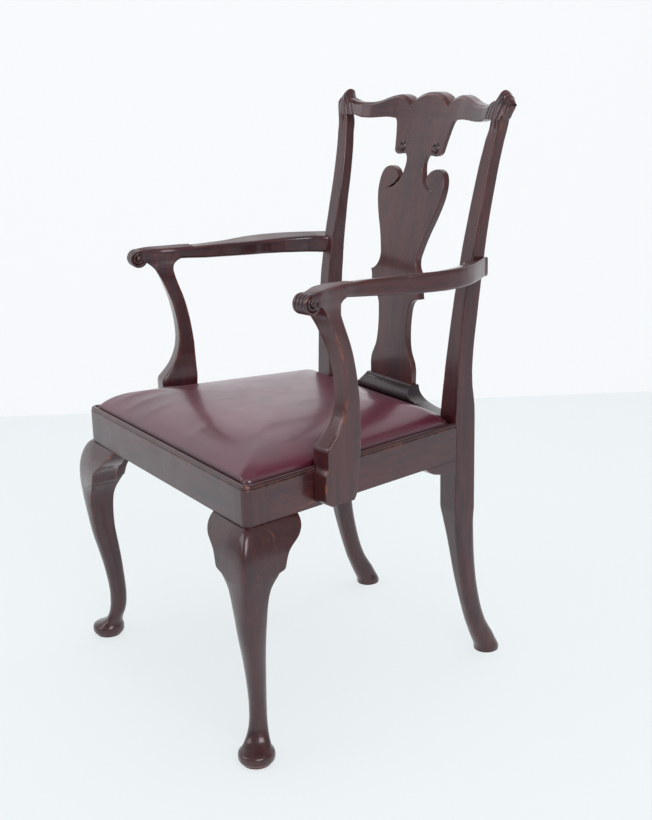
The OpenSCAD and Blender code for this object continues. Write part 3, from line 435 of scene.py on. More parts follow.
def sawn_beech(name):
    """Sawn and planed beech for the hidden framing: pale, dry wood with short brown flecks."""
    material, tree, shader = blank_material(name)
    place = on_piece(tree)
    grain = noise(tree, drawn_out(tree, place, 0, 0.15), 260.0, 5.0)
    colour = mix(tree, spread(tree, grain, 0.35, 0.68), "#A9835A", "#CBA97C")
    feed(tree, shader, {"Base Color": colour, "Normal": bump(tree, grain, 0.3, 0.0002),
                        "Roughness": 0.62})
    return material


def woven_cloth(name, dark, light, pitch):
    """Plain-woven jute or linen: two sets of threads, each a sine wave across the other, with
    a slubby colour. pitch is the thread spacing in millimetres, coarse enough to show."""
    material, tree, shader = blank_material(name)
    place = on_piece(tree)
    turn = add(tree, "ShaderNodeVectorMath", {"operation": "SCALE"},
               {0: place, "Scale": 2 * math.pi / (pitch * MM)})
    split = add(tree, "ShaderNodeSeparateXYZ", inputs={0: turn.outputs[0]})
    threads = maths(tree, "MULTIPLY", *[maths(tree, "SINE", split.outputs[i]) for i in (0, 1)])
    shade = maths(tree, "MULTIPLY_ADD", threads, 0.25, noise(tree, place, 320.0, 4.0))
    feed(tree, shader, {"Base Color": mix(tree, shade, dark, light),
                        "Normal": bump(tree, threads, 0.5, 0.0004), "Roughness": 0.9})
    return material


def plain_steel(name):
    """Bright drawn steel, a little tarnished, for screws and tacks."""
    material, tree, shader = blank_material(name)
    place = on_piece(tree)
    tarnish = noise(tree, place, 500.0, 3.0)
    feed(tree, shader, {"Base Color": mix(tree, tarnish, "#5E5A55", "#9C9A96"), "Metallic": 1.0,
                        "Roughness": spread(tree, tarnish, 0.0, 1.0, 0.25, 0.5)})
    return material


def oxblood_leather(name, seat):
    """Smooth chrome-tanned hide, dyed oxblood and waxed: a tight pebble grain about a
    millimetre across, a faint broad unevenness, and a glossy finish that is duller where
    rubbed. A painted shade darkens it below the lip's top, in the gap beside the lip."""
    material, tree, shader = blank_material(name)
    place = on_piece(tree)
    pebble = add(tree, "ShaderNodeTexVoronoi", {"feature": "SMOOTH_F1"},
                 {"Vector": place, "Scale": 1 / seat.grain_size, "Smoothness": 0.6})
    pull = noise(tree, place, 22.0, 3.0, Distortion=0.6)
    fade = noise(tree, place, 7.0, 2.0)
    dyed = mix(tree, spread(tree, fade, 0.35, 0.7), seat.dye, seat.dye_light)
    height = add(tree, "ShaderNodeSeparateXYZ", inputs={0: place}).outputs[2]
    # Painted shade: below the lip's top the dye is mixed towards near black (#090305), standing in
    # for the shade in the gap beside the lip.
    unmarked = add(tree, "ShaderNodeMapRange", {"interpolation_type": "SMOOTHSTEP"},
                {"Value": height, "From Min": (SEAT_TOP - 2) * MM,
                 "From Max": (SEAT_TOP + 3) * MM, "To Min": 0.3, "To Max": 1.0})
    pebbled = bump(tree, pebble.outputs[0], 0.12, 0.00015)
    feed(tree, shader, {
        "Base Color": mix(tree, unmarked.outputs[0], "#090305", dyed),
        "Roughness": spread(tree, pull, 0.3, 0.75, seat.gloss, seat.gloss + 0.08),
        "Normal": bump(tree, pull, 0.35, 0.0006, Normal=pebbled),
        "IOR": 1.72, "Specular Tint": linear("#FFEEFC"),
        "Coat Weight": 0.5, "Coat Roughness": 0.16})
    return material


def made_once(name, maker, *arguments, **options):
    """The material of that name, made the first time that a piece asks for it."""
    return bpy.data.materials.get(name) or maker(name, *arguments, **options)


def wood(grain, redness=0.5, darkness=0.0):
    """The mahogany for a board that runs along the axis given."""
    timber = bpy.context.scene.armchair_timber
    name = "french_polished_mahogany_%s_%d_%d" % ("xyz"[grain], redness * 100, darkness * 100)
    return made_once(name, polished_mahogany, grain, timber, redness=redness, darkness=darkness)


# ------------------------------------------------------------------ front legs

# Height, reach outwards and inwards along the diagonal, half width across it, where the
# widest point lies, and the roundness outside and inside (2 is a circle, 1 a square on edge)
CABRIOLE = [
    [5.5, 26.5, -26.5, 26.5, 0, 2, 2], [9, 28.2, -28.2, 28.2, 0, 2, 2],
    [14, 28.6, -28.6, 28.6, 0, 2, 2], [19, 27.6, -28.4, 27.6, 0, 2, 2],
    [23, 20.5, -27.6, 23.5, -2, 2, 2], [27, 11, -27, 21.2, -6, 2, 2],
    [33, 1.5, -28, 18.6, -12, 2, 2], [41, -3.5, -31, 16.4, -17, 2, 2],
    [52, -7, -35.4, 14.6, -21, 2, 2], [66, -8.8, -38.4, 13.7, -23.6, 2, 2],
    [84, -9.2, -39.6, 13.7, -24.4, 2, 2], [102, -7.6, -39, 14.2, -23.3, 1.95, 2],
    [121, -4.2, -37.6, 15, -20.6, 1.9, 1.9], [142, 0.3, -36, 16.2, -17, 1.8, 1.8],
    [160, 5.2, -34.2, 17.4, -13, 1.75, 1.7], [178, 10.6, -32, 18.8, -8.5, 1.66, 1.6],
    [198, 16.4, -29.2, 20.6, -4, 1.58, 1.5], [218, 21.2, -27, 22.6, -0.5, 1.48, 1.4],
    [238, 25.8, -26.6, 24.6, 1.5, 1.36, 1.35], [255, 29.4, -27.2, 26.4, 3, 1.26, 1.3],
    [270, 32.3, -28.8, 28.6, 2.5, 1.18, 1.25], [282, 34.2, -31.5, 31.4, 0, 1.12, 1.2],
    [292, 35.6, -36, 36, -4, 1.08, 1.15], [303, 36.6, -43, 42.6, -9, 1.05, 1.1],
    [316, 36.6, -51, 46.6, -11.5, 1.04, 1.05], [330, 35.2, -53, 46.7, -11.5, 1.04, 1.05],
    [342, 32.4, -53, 44.1, -11.5, 1.04, 1.05], [352, 28.6, -53, 40.3, -11.5, 1.04, 1.05],
    [361, 23.8, -53, 35.5, -11.5, 1.04, 1.05], [368, 18.8, -53, 30.5, -11.5, 1.04, 1.05],
    [373, 14, -53, 25.7, -11.5, 1.04, 1.05], [377, 8, -53, 19.7, -11.5, 1.04, 1.05]]
LEG_TURN = -math.pi / 4 + SPLAY / 2
FOOT_INSET = 7.2
DISC_R = 22.6
RIDGE_SOFT = 4.3
DISC_TOP = 5.5
ANKLE = 60.0
LEG_TOP = 377.0
LEG_POINTS = 96
STILE_DOWN = 50.0
FOOT = np.array([FRONT_HALF - FOOT_INSET * math.cos(LEG_TURN), -FOOT_INSET * math.sin(LEG_TURN)])


def cabriole_rings():
    """Rings up the leg. Along the diagonal a ring reaches ds + (out - ds) cos^(2/p) outwards
    and ds - (ds - in) cos^(2/p) inwards, and across it w sin^(2/p), where p is the
    roundness on that side. The ridge is eased off above the middle of the leg, and the
    whole is turned by the corner's angle onto the foot."""
    height = runs(DISC_TOP, (ANKLE, 35), (LEG_TOP, 109))
    out, inner, half, widest, p_out, p_in = eased(CABRIOLE, height).T[..., None]
    turn = np.linspace(0, 2 * math.pi, LEG_POINTS, endpoint=False)[None]
    c, s = np.cos(turn), np.sin(turn)
    power = 2 / np.where(c >= 0, p_out, p_in)
    reach = np.where(c >= 0, out, inner) - widest
    along = widest + reach * np.abs(c) ** power
    across = half * np.sign(s) * np.abs(s) ** power
    soft = RIDGE_SOFT * smoothstep(170, 250, height)[:, None] * (c > 0) + 1e-6
    eased_off = out - np.sqrt((out - along)**2 + soft**2) + 0.35 * soft * np.abs(c)
    along = np.where(c > 0, eased_off, along)
    x = FOOT[0] + along * math.cos(LEG_TURN) - across * math.sin(LEG_TURN)
    y = FOOT[1] + along * math.sin(LEG_TURN) + across * math.cos(LEG_TURN)
    return at_heights(x, y, height)


def foot_disc():
    """The turned disc under the pad: circles whose radius eases in at both edges."""
    height = np.array([0, 0.5, 1.6, 5.0, 6.2])
    radius = (np.array([-1.4, -0.4, 0, 0, -0.8]) + DISC_R)[:, None]
    turn = np.linspace(0, 2 * math.pi, 64, endpoint=False)
    x, y = FOOT[0] + radius * np.cos(turn), FOOT[1] + radius * np.sin(turn)
    return loft(at_heights(x, y, height))


def corner_arc(inset, steps=12):
    """The seat's right front corner in plan, inset from the rails' faces: a quarter circle
    about one centre, whose radius shrinks by the inset."""
    radius = max(CORNER_R - inset, 0.6)
    centre_y = inset + radius
    centre_x = rail_x(centre_y) - radius / math.cos(SPLAY)
    centre_x -= inset / math.cos(SPLAY)
    turn = np.linspace(-math.pi / 2, SPLAY, steps)
    return np.column_stack([centre_x + radius * np.cos(turn), centre_y + radius * np.sin(turn)])


def stile_block():
    """The square block on top of the leg, flush with the rails: a prism below the seat's
    ledge, and above it only the strip outside the drop-in seat."""
    side = np.array([rail_x(0) - STILE * math.sin(SPLAY), STILE * math.cos(SPLAY)])
    inner_x = FRONT_HALF - STILE
    inner = np.array([inner_x, side[1] - (side[0] - inner_x) * math.tan(SPLAY)])
    whole = np.vstack([[inner_x, 0], corner_arc(0), side, inner])
    well = corner_arc(LIP_W)
    across = np.array([-math.cos(SPLAY), -math.sin(SPLAY)]) * LIP_W
    strip = np.vstack([[inner_x, 0], corner_arc(0), side, side + across, well[::-1],
                       [inner_x, LIP_W]])
    return [prism(whole, RAIL_BOTTOM - STILE_DOWN, LEDGE), prism(strip, LEDGE, RAIL_TOP)]


def front_leg():
    """The cabriole, its disc and its stile block as one shape, for the right side."""
    return stacked([loft(cabriole_rings()), foot_disc(), *stile_block()])


# Knee brackets: height below the rail, distance of the tip from the corner, and how far the
# tip stands proud of the rail
WING = [
    [-80, 24, 23], [-76, 30, 23.6], [-72.5, 37, 24.4], [-70, 44, 25], [-68, 49.4, 25.4],
    [-66, 51.4, 25.6], [-55, 55, 25.2], [-47, 58.5, 24.4], [-41, 63, 23.5], [-36, 69, 22.4],
    [-31.5, 76, 21.2], [-27, 82.5, 19.8], [-22, 88, 17.5], [-17, 92.5, 14.6], [-12, 95.4, 11.4],
    [-7, 97, 7.8], [-3, 97.7, 4.2], [0, 98, 1]]
WING_BACK = 22.0
WING_BOX = WING_BACK + 20


def knee_wing():
    """The bracket beside the knee, on the front rail: at each height a straight face from the
    tip, tangent to the knee's ring, so that knee and bracket are one surface. The tangent
    point is the ring's point that is seen furthest forward from the tip."""
    below = runs(-80, (-62, 15), (-30, 19), (0, 25))
    reach, proud = eased(WING, below).T
    rings = cabriole_rings()
    levels = rings[:, 0, 2]
    dense = np.stack([np.interp(RAIL_BOTTOM + below, levels, rings[:, i, k])
                      for i in range(LEG_POINTS) for k in (0, 1)], -1)
    dense = dense.reshape(len(below), LEG_POINTS, 2)
    tip = np.stack([FRONT_HALF - reach, -proud], -1)
    way = dense - tip[:, None]
    slope = np.where(way[..., 0] > 1, way[..., 1] / np.maximum(way[..., 0], 1), 9)
    touch = dense[np.arange(len(below)), slope.argmin(1)]
    wide = np.maximum(touch[:, 0] - tip[:, 0], 2)
    zero = np.zeros_like(wide)
    radius = np.stack([zero + 0.2, zero + 1.2, np.minimum(2.2, wide / 3), zero + 0.2], -1)
    box = np.stack([wide, zero + 1], -1) * [1, WING_BOX]
    ring = rounded_rings(np.zeros_like(box), box, radius, arc=6, sides=(6, 6, 24, 6))
    share = ring[..., 0] / wide[:, None]
    front = tip[:, 1:] + share * (touch - tip)[:, 1:]
    y = front + ring[..., 1] / WING_BOX * (WING_BACK - front)
    return loft(at_heights(tip[:, :1] + ring[..., 0], y, RAIL_BOTTOM + below))


def across_the_corner(shape):
    """The mirror image of a shape in the upright plane through the foot along its diagonal,
    which carries the front rail's side of the corner to the side rail's."""
    points, faces = shape
    c, s = math.cos(2 * LEG_TURN), math.sin(2 * LEG_TURN)
    plan = (points[:, :2] - FOOT) @ np.array([[c, s], [s, -c]]) + FOOT
    return np.column_stack([plan, points[:, 2]]), [face[::-1] for face in faces]


# ------------------------------------------------------------------ rear posts

# Above the seat: height, then shares of the flare, width, rake and depth
POST = [
    [0, 0, 1, 0, 1], [20, 0.016, 0.973, 0.01, 0.966], [40, 0.027, 0.943, 0.024, 0.885],
    [60, 0.043, 0.9, 0.035, 0.793], [80, 0.06, 0.866, 0.05, 0.74],
    [100, 0.076, 0.832, 0.068, 0.72], [120, 0.092, 0.8, 0.092, 0.71],
    [140, 0.108, 0.765, 0.114, 0.72], [160, 0.13, 0.736, 0.139, 0.737],
    [180, 0.151, 0.705, 0.167, 0.75], [200, 0.168, 0.682, 0.199, 0.75],
    [220, 0.19, 0.675, 0.248, 0.727], [240, 0.227, 0.675, 0.298, 0.69],
    [260, 0.265, 0.677, 0.349, 0.668], [280, 0.276, 0.68, 0.404, 0.634],
    [300, 0.286, 0.682, 0.468, 0.598], [320, 0.319, 0.682, 0.532, 0.561],
    [340, 0.34, 0.68, 0.596, 0.537], [360, 0.362, 0.675, 0.661, 0.524],
    [380, 0.4, 0.664, 0.723, 0.515], [400, 0.443, 0.645, 0.78, 0.51],
    [420, 0.5, 0.62, 0.837, 0.51], [440, 0.61, 0.595, 0.894, 0.505], [460, 0.76, 0.58, 0.943, 0.5],
    [483, 1, 0.568, 1, 0.49]]
# Below the rails: height, share of the way to the foot, half width, half depth, corner radius
REAR_LEG = [
    [0, 1, 21, 21.4, 20], [4, 1, 21.7, 21.7, 20.5], [9, 0.985, 21.2, 21.4, 20],
    [20, 0.91, 18.6, 21, 17.5], [34, 0.815, 17, 20.6, 15.5], [47, 0.72, 16, 19.2, 14.5],
    [64, 0.605, 15.6, 17.8, 14], [96, 0.455, 15.8, 16.6, 13.5], [126, 0.345, 16.4, 16.6, 12.8],
    [157, 0.25, 17.2, 16.8, 12], [200, 0.155, 18.6, 17.6, 11], [236, 0.085, 20, 18.8, 9.5],
    [264, 0.03, 21.2, 19.8, 7], [288, 0, 22, 20.5, 3], [377, 0, 22, 20.5, 3]]
REAR_FOOT_BACK = 71.0
POST_EDGE = 3.0
REAR_FOOT_IN = 3.5
HEAD = 32.0
REEDS = 4
# The reeds' inner and outer edge from the middle, at heights above the crest's joint
EAR_INNER = [-30, 0, 20, 46], [189, 185.5, 193, 212]
EAR_OUTER = [-30, 0, 14, 46], [225, 228.5, 234, 243]


def ear_reeds(x, above_joint):
    """Ridge height, 0 to 1, of the four reeds that run up each post's head and over the
    crest's ear. They fan in from the post's width at the joint to the ear's tip, and
    across them the height is a row of scallops. Outside the reeds it is 1."""
    inner, outer = np.interp(above_joint, *EAR_INNER), np.interp(above_joint, *EAR_OUTER)
    across = (np.abs(x) - inner) / (outer - inner)
    inside = smoothstep(-0.02, 0.0, across) * smoothstep(-24, -9, above_joint)
    return 1 - inside * (1 - scallops(across, REEDS))


def crest_thickness(away, bow):
    """The crest's thickness: full at the middle and a little less out to the ears."""
    return CREST_T * (0.86 + 0.14 * bow) * (1 - 0.16 * np.clip((away - 215) / 21.6, 0, 1))


def rear_post(carving):
    """The rear leg and post in one stick: rounded rectangles whose place, size and corner
    radius ease from row to row. The reeds of the ear are cut into the head's face, which
    turns into the crest's bowed faces on the way up to their joint."""
    leg = np.array(REAR_LEG)
    centre = np.array([REAR_HALF - POST_W / 2, SEAT_DEPTH + POST_D / 2])
    foot = centre + [-REAR_FOOT_IN, REAR_FOOT_BACK]
    low_rows = np.column_stack([leg[:, 0], centre + (foot - centre) * leg[:, 1:2], leg[:, 2:]])
    post = np.array(POST)
    out = REAR_HALF + post[:, 1] * POST_FLARE
    front = SEAT_DEPTH + post[:, 3] * POST_RAKE
    half = post[:, [2, 4]] * [POST_W / 2, POST_D / 2]
    high_rows = np.column_stack([SEAT_TOP + post[:, 0], out - half[:, 0], front + half[:, 1], half,
                                 np.full(len(post), POST_EDGE)])
    height = runs(0, (50, 21), (RAIL_BOTTOM, 59), (CREST_JOINT - HEAD, 89), (CREST_JOINT, 45))
    x, y, wide, deep, radius = eased(np.vstack([low_rows, high_rows]), height).T
    radius = np.minimum(radius, np.minimum(wide, deep) - 0.3)
    rings = rounded_rings(np.stack([x - wide, y - deep], -1), np.stack([x + wide, y + deep], -1),
                          radius, arc=6, sides=(3, 3, 44, 3))
    above = height[:, None] - CREST_JOINT
    cut = carving.reed_depth / MM * (1 - ear_reeds(rings[..., 0], above))
    on_front = smoothstep(0.55, 1.0, (y[:, None] - rings[..., 1]) / deep[:, None])
    on_back = smoothstep(0.55, 1.0, (rings[..., 1] - y[:, None]) / deep[:, None])
    bow = eased_column(CREST_PLAN, rings[..., 0])
    crest_front = SEAT_DEPTH + POST_RAKE - CREST_PROUD + CREST_BOW * bow
    crest_back = crest_front + crest_thickness(rings[..., 0], bow)
    near = smoothstep(-34, 0, above)
    rings[..., 1] += on_front * (cut + near * (crest_front - (y - deep)[:, None]))
    rings[..., 1] += on_back * near * (crest_back - (y + deep)[:, None])
    return loft(at_heights(rings[..., 0], rings[..., 1], height))


# ------------------------------------------------------------------ crest rail

# Half outlines: distance from the middle, height above the joint. The first two meet at
# the V between the middle hump and its neighbour.
CREST_HUMP = [[0, 40], [12, 39.4], [24, 37], [34, 33.5], [43, 28.5], [49, 24], [53, 20.6]]
CREST_WING = [
    [53, 20.6], [57, 25], [62, 28.6], [72, 33], [85, 35.3], [100, 33.4], [115, 29.6], [130, 25],
    [148, 22], [165, 21.4], [181, 22.4], [194, 26.4], [204, 32.8], [210, 40], [213.5, 45],
    [216, 44.6], [222, 41], [227, 37], [231.6, 32.8], [235, 28.6], [236.6, 25.4]]
CREST_FOOT = [
    [0, -5], [84, -4.5], [107, -3.5], [120, -4], [148, -5.5], [165, -5], [176, -2.4], [183, 0],
    [227.5, 0], [231.6, 7], [235, 15], [236.6, 21]]
CREST_PLAN = [
    [0, 1], [30, 0.985], [60, 0.93], [84, 0.86], [110, 0.72], [140, 0.52], [165, 0.33],
    [190, 0.15], [207, 0.03], [215, 0], [222, 0.03], [227, 0.08], [231.6, 0.14], [236.6, 0.26]]
CREST_T = 24.0
CREST_BOW = 32.0
CREST_LEAN = 0.28
CREST_PROUD = 2.0
CREST_EDGE = 3.2
CREST_V = 53.0
EAR_TALL = 46.0
EAR_ROLL = 5.0
HOLLOW_DEPTH = 0.7  # share of its width


def crest_rail(carving):
    """The crest: sections across it, each a rounded rectangle between the foot and the top
    outlines that leans back with its height and lies on the bowed plan. The upper front
    edge is cut to a hollow, 1 - (1 - t)^2 deep. The ears carry the posts' reeds and are
    rolled over from front to back, (2t - 1)^2 lower towards both."""
    half = runs(0, (CREST_V - 0.1, 59), (CREST_V + 0.1, 1), (178, 119), (236.6, 83))
    at = np.concatenate([-half[:0:-1], half])
    away = np.abs(at)
    top = np.where(away < CREST_V, eased_column(CREST_HUMP, away), eased_column(CREST_WING, away))
    foot, bow = eased_column(CREST_FOOT, away), eased_column(CREST_PLAN, away)
    thick, rise = crest_thickness(away, bow), top - foot
    most = np.minimum(CREST_EDGE, np.minimum(thick, rise) / 2 - 0.2)
    free_foot = smoothstep(88, 96, away) * (1 - smoothstep(176, 184, away))
    radius = np.stack([most, most * 0.8, 0.3 + (most - 0.3) * free_foot, most], -1)
    size = np.stack([thick, rise], -1)
    rings = rounded_rings(np.zeros_like(size), size, radius, arc=6, sides=(12, 64, 8, 10))
    deep, up = rings[..., 0], rings[..., 1]
    through, high = deep / thick[:, None], up / rise[:, None]
    x = np.broadcast_to(at[:, None], deep.shape)
    groove = carving.reed_depth / MM * (1 - ear_reeds(x, up + foot[:, None]))
    facing = 1 - smoothstep(0.15, 0.5, through)
    chamfer = carving.chamfer / MM
    near_top = np.clip((up - rise[:, None] + chamfer) / chamfer, 0, 1)
    on_crest = 1 - smoothstep(180, 200, np.abs(x))
    hollow = chamfer * HOLLOW_DEPTH * (1 - (1 - near_top)**2) * facing * on_crest
    ear = smoothstep(168, 196, away)[:, None]
    lean = CREST_LEAN * up * (1 - 0.375 * ear * np.clip(1 - up / EAR_TALL, 0, 1))
    front = SEAT_DEPTH + POST_RAKE - CREST_PROUD + bow[:, None] * CREST_BOW
    over = smoothstep(0.45, 1.0, high) * smoothstep(192, 208, away)[:, None]
    lowered = 1.1 * groove * smoothstep(0.7, 1.0, high) + EAR_ROLL * over * (2 * through - 1)**2
    return loft(np.stack([x, front + lean + deep + groove * facing + hollow,
                          CREST_JOINT + foot[:, None] + up - lowered], -1))


# ------------------------------------------------------------------ splat and shoe

# Right half of the splat in smooth runs between its corners: x, and height above the seat
SPLAT_RUNS = [
    [[60.9, 8], [60.8, 34], [60.4, 59], [58.6, 66], [52, 78.5], [47, 88], [44, 99],
     [42.3, 111], [41.4, 130], [42.3, 150], [44.4, 164], [48.5, 172.5], [56, 178.6],
     [66, 181.6], [72.6, 182.4]],
    [[72.6, 182.4], [70.2, 191], [69.4, 201], [70.6, 210], [74.4, 219]],
    [[74.4, 219], [66, 222.4], [58.5, 229], [53.6, 237.5], [52.2, 247], [55.6, 261], [61.2, 277.6],
     [68.2, 294.6], [76, 311], [83.6, 330], [88.4, 345], [90.8, 360], [90.4, 374], [87.6, 385],
     [82.6, 392.4], [75, 396.6], [65, 398], [55, 396], [47, 392], [41.8, 386], [39.2, 379],
     [43, 372.6], [52, 366], [63.6, 360.6]],
    [[63.6, 360.6], [51, 363.6], [40.6, 369.6], [33, 377], [28, 387], [25.2, 398], [25, 407],
     [27.6, 415], [33, 420]],
    [[33, 420], [61, 420.4], [64.6, 423], [67.2, 432], [70, 445], [73.2, 458], [75.8, 467],
     [78, 472.6], [81, 476.6], [85, 479], [90, 480.2]]]
SPLAT_LEAN = [
    [0, 19], [34, 19.4], [70, 20.3], [120, 23], [200, 30], [300, 49], [398, 73], [420, 80],
    [478, 99.5], [500, 107]]
SPLAT_MEETS = 478.5
SPLAT_TAPER = [[0, 0.86], [250, 1], [370, 1], [425, 0.66], [478, 0.56]]
SPLAT_SUNK = 1.5
VOLUTE_CENTRE = 47.5, 432.0
VOLUTE_R = 10.2
VOLUTE_TURNS = 1.8


def smooth_run(points, step=1.6):
    """A curve through a run of points: a Catmull-Rom spline over the chord length, sampled
    at the step given, end point left out."""
    p = np.asarray(points, float)
    chord = np.concatenate([[0], np.cumsum(np.sqrt(((p[1:] - p[:-1])**2).sum(1)))])
    grade = np.gradient(p, chord, axis=0)
    at = np.linspace(0, chord[-1], max(int(chord[-1] / step), 2), endpoint=False)
    i = np.clip(np.searchsorted(chord, at, side="right") - 1, 0, len(p) - 2)
    h = (chord[i + 1] - chord[i])[:, None]
    return cubic(p, grade, i, h, (at[:, None] - chord[i][:, None]) / h)


def splat_front(above):
    """Depth of the splat's front face at heights above the seat."""
    return SEAT_DEPTH + eased_column(SPLAT_LEAN, above)


def splat_face(x, above):
    """The splat's front face: its lean, which turns into the crest's bowed face on the way
    up to their joint."""
    bowed = SEAT_DEPTH + POST_RAKE - CREST_PROUD + CREST_BOW * eased_column(CREST_PLAN, np.abs(x))
    at_joint = splat_front(SPLAT_MEETS)
    share = smoothstep(405, SPLAT_MEETS, above)
    return at_joint * (1 - share) + share * bowed + (splat_front(above) - at_joint)


def splat_outline(edge):
    """The splat as a flat board, filled between its outline and that outline's mirror
    image, with rounded edges of the radius given."""
    half = np.vstack([smooth_run(run) for run in SPLAT_RUNS])
    outline = np.vstack([half, (half * [-1, 1])[::-1]])
    curve = bpy.data.curves.new("splat_outline", "CURVE")
    curve.dimensions = "2D"
    curve.fill_mode = "BOTH"
    curve.extrude = 0.5 * SPLAT_T - edge
    curve.bevel_depth = edge
    curve.bevel_resolution = 3
    curve.offset = -edge
    spline = curve.splines.new("POLY")
    spline.points.add(len(outline) - 1)
    spline.points.foreach_set("co", np.column_stack([outline, np.zeros(len(outline)),
                                                     np.ones(len(outline))]).ravel())
    spline.use_cyclic_u = True
    board = in_scene("splat_outline", curve)
    bpy.context.view_layer.update()
    shown = board.evaluated_get(bpy.context.evaluated_depsgraph_get())
    mesh = bpy.data.meshes.new_from_object(shown)
    bpy.data.objects.remove(board)
    return mesh


def splat_mesh(carving):
    """The pierced splat: the flat board cut into level strips and, where it meets the
    crest, upright ones, and each point then carried back to the leaning face at its
    height. Its top is sunk a little into the crest."""
    mesh = splat_outline(carving.splat_edge / MM)
    work = bmesh.new()
    work.from_mesh(mesh)
    bmesh.ops.remove_doubles(work, verts=work.verts, dist=0.02)
    for level in np.concatenate([np.arange(14, 400, 8.0), np.arange(400, 480, 5.0)]):
        bmesh.ops.bisect_plane(work, geom=work.verts[:] + work.edges[:] + work.faces[:],
                               plane_co=(0, level, 0), plane_no=(0, 1, 0), dist=0.01)
    for upright in np.arange(-84, 85, 6.0):
        head = [v for v in work.verts if v.co.y > 399]
        edges = {e for v in head for e in v.link_edges}
        faces = {f for v in head for f in v.link_faces}
        bmesh.ops.bisect_plane(work, geom=head + list(edges) + list(faces),
                               plane_co=(upright, 0, 0), plane_no=(1, 0, 0), dist=0.01)
    bmesh.ops.recalc_face_normals(work, faces=work.faces)
    work.to_mesh(mesh)
    work.free()
    x, above, through = points_of(mesh).T
    front = splat_face(x, above) + SPLAT_SUNK * smoothstep(478.6, 480.4, above)
    y = front + (through + SPLAT_T / 2) * eased_column(SPLAT_TAPER, above)
    placed = np.column_stack([x, y + RAIL_FACE, above + SEAT_TOP]) * MM
    mesh.vertices.foreach_set("co", placed.ravel())
    mesh.flip_normals()
    return mesh


def volute(carving):
    """A carved spiral on the splat's face: polar rings whose height is a flat ridge with a
    groove that winds in, where the turns times r / R less the angle is half a turn over a
    whole number, to a raised eye."""
    share = np.linspace(1, 0.02, 46)[:, None]
    angle = np.linspace(0, 2 * math.pi, 84, endpoint=False)[None]
    phase = (share * VOLUTE_TURNS - angle / (2 * math.pi)) % 1
    rim = 1 - smoothstep(0.9, 1.0, share)
    groove = np.exp(-((phase - 0.5) / 0.2)**2) * smoothstep(0.18, 0.3, share) * rim
    height = carving.volute_depth / MM * (1 - 0.97 * groove) * rim - 0.1
    x = VOLUTE_CENTRE[0] + VOLUTE_R * share * np.cos(angle)
    above = VOLUTE_CENTRE[1] + VOLUTE_R * share * np.sin(angle)
    face = np.stack([x, splat_face(x, above) - height, above + SEAT_TOP], -1)
    buried = face[:1] + [0, 3, 0]
    return loft(np.concatenate([buried, face]))


SHOE_TOP_HALF = 67.9
SHOE_PLINTH = 9.0
CAVETTO = 14.5


def shoe():
    """The shoe: sections across it whose front is a hollow quarter curve under a square
    fillet, clipped by the sweep that falls from the splat to the posts."""
    half = REAR_HALF - POST_W
    turn = np.linspace(0, math.pi / 2, 60)
    x_sweep = (half + 2) + (SHOE_TOP_HALF - half - 2) * np.sin(turn)
    z_sweep = 2 + (SHOE_H - 2) * (1 - np.cos(turn))**1.35
    at = np.linspace(-half + 0.05, half - 0.05, 181)
    away = np.abs(at)
    roof = np.where(away < SHOE_TOP_HALF, SHOE_H, np.interp(away, x_sweep[::-1], z_sweep[::-1]))
    share = np.linspace(0, 1, 26)[None]
    z = roof[:, None] * share
    lift = np.clip((z - SHOE_PLINTH) / (SHOE_H - 4 - SHOE_PLINTH), 0, 1)
    front = 1.5 + CAVETTO * (1 - np.cos(np.arcsin(lift)))
    back = splat_front(SHOE_H) - SEAT_DEPTH + SPLAT_T * 0.9 + np.zeros_like(z)
    soft = 1.2 * smoothstep(0.9, 1.0, share)
    fore, rear = np.stack([front + soft, z], -1), np.stack([back - soft, z], -1)
    ring = np.concatenate([fore, rear[:, ::-1]], 1)
    x = np.broadcast_to(at[:, None], ring.shape[:2])
    return loft(np.stack([x, SEAT_DEPTH + ring[..., 0], SEAT_TOP + ring[..., 1]], -1))


# ------------------------------------------------------------------ arms

# Depth, then the outer and inner edge from the side rail's face, and the outer and inner
# top and the outer and inner underside from the arm's height
ARM = [
    [112, 33, 6, -6.2, -6.2, -20, -20], [119, 33.3, 3, -5.1, -5.2, -20.5, -20.5],
    [125, 33, 0, -4.6, -5.1, -21, -21], [131, 32.2, -4, -4.2, -5, -22, -22],
    [138, 30.2, -8, -3.9, -4.8, -22.7, -22.7], [150, 26.6, -12, -3.5, -4.5, -23.5, -23.5],
    [170, 22.4, -13.4, -3, -4.5, -23, -23.5], [190, 19.5, -10.8, -2.5, -4.5, -23.5, -24.5],
    [210, 16.7, -7.6, -2.5, -5, -26, -26], [230, 18.1, -4.4, -2.2, -5.2, -28, -27.5],
    [250, 21.8, -0.2, -1.7, -5.8, -29.5, -28.5], [270, 27, 4, -1.5, -6.5, -30.7, -29.5],
    [290, 33.7, 7.1, -1, -7.1, -31.5, -30.5], [310, 42.3, 10.3, -0.5, -7.5, -31.8, -31.5],
    [330, 50.5, 14, -0.2, -7.8, -32, -32.5], [350, 56.2, 18.7, -0.2, -8, -32.1, -33.3],
    [370, 58.9, 21.4, 0, -8, -32.5, -34.3], [390, 59, 21.5, 0, -7.7, -32.6, -35],
    [410, 56.5, 19.7, 0, -7.4, -32.4, -36], [430, 50.9, 15.4, 0, -7.1, -31.9, -36.6],
    [444, 44.8, 9.5, 0, -6.9, -31.8, -37], [456, 38.7, -2, 0, -6.6, -31.8, -37],
    [466, 33.4, -6, 0, -6.6, -31.8, -37], [478, 26.8, -6, 0, -6.6, -32, -37],
    [485, 21.8, -6, 0, -6.6, -32, -37], [486.4, 20.6, -6, 0, -6.6, -32, -37],
    [487.4, 20.1, -6, 0, -6.6, -32, -37], [495.5, 18.6, -6, 0, -6.6, -32, -37]]
ARM_EDGE = 5.0
REEDS_END = 205.0
SCROLL_W = 29.0
SCROLL_TURN = math.radians(9.5)
SCROLL_OUT = 33.0
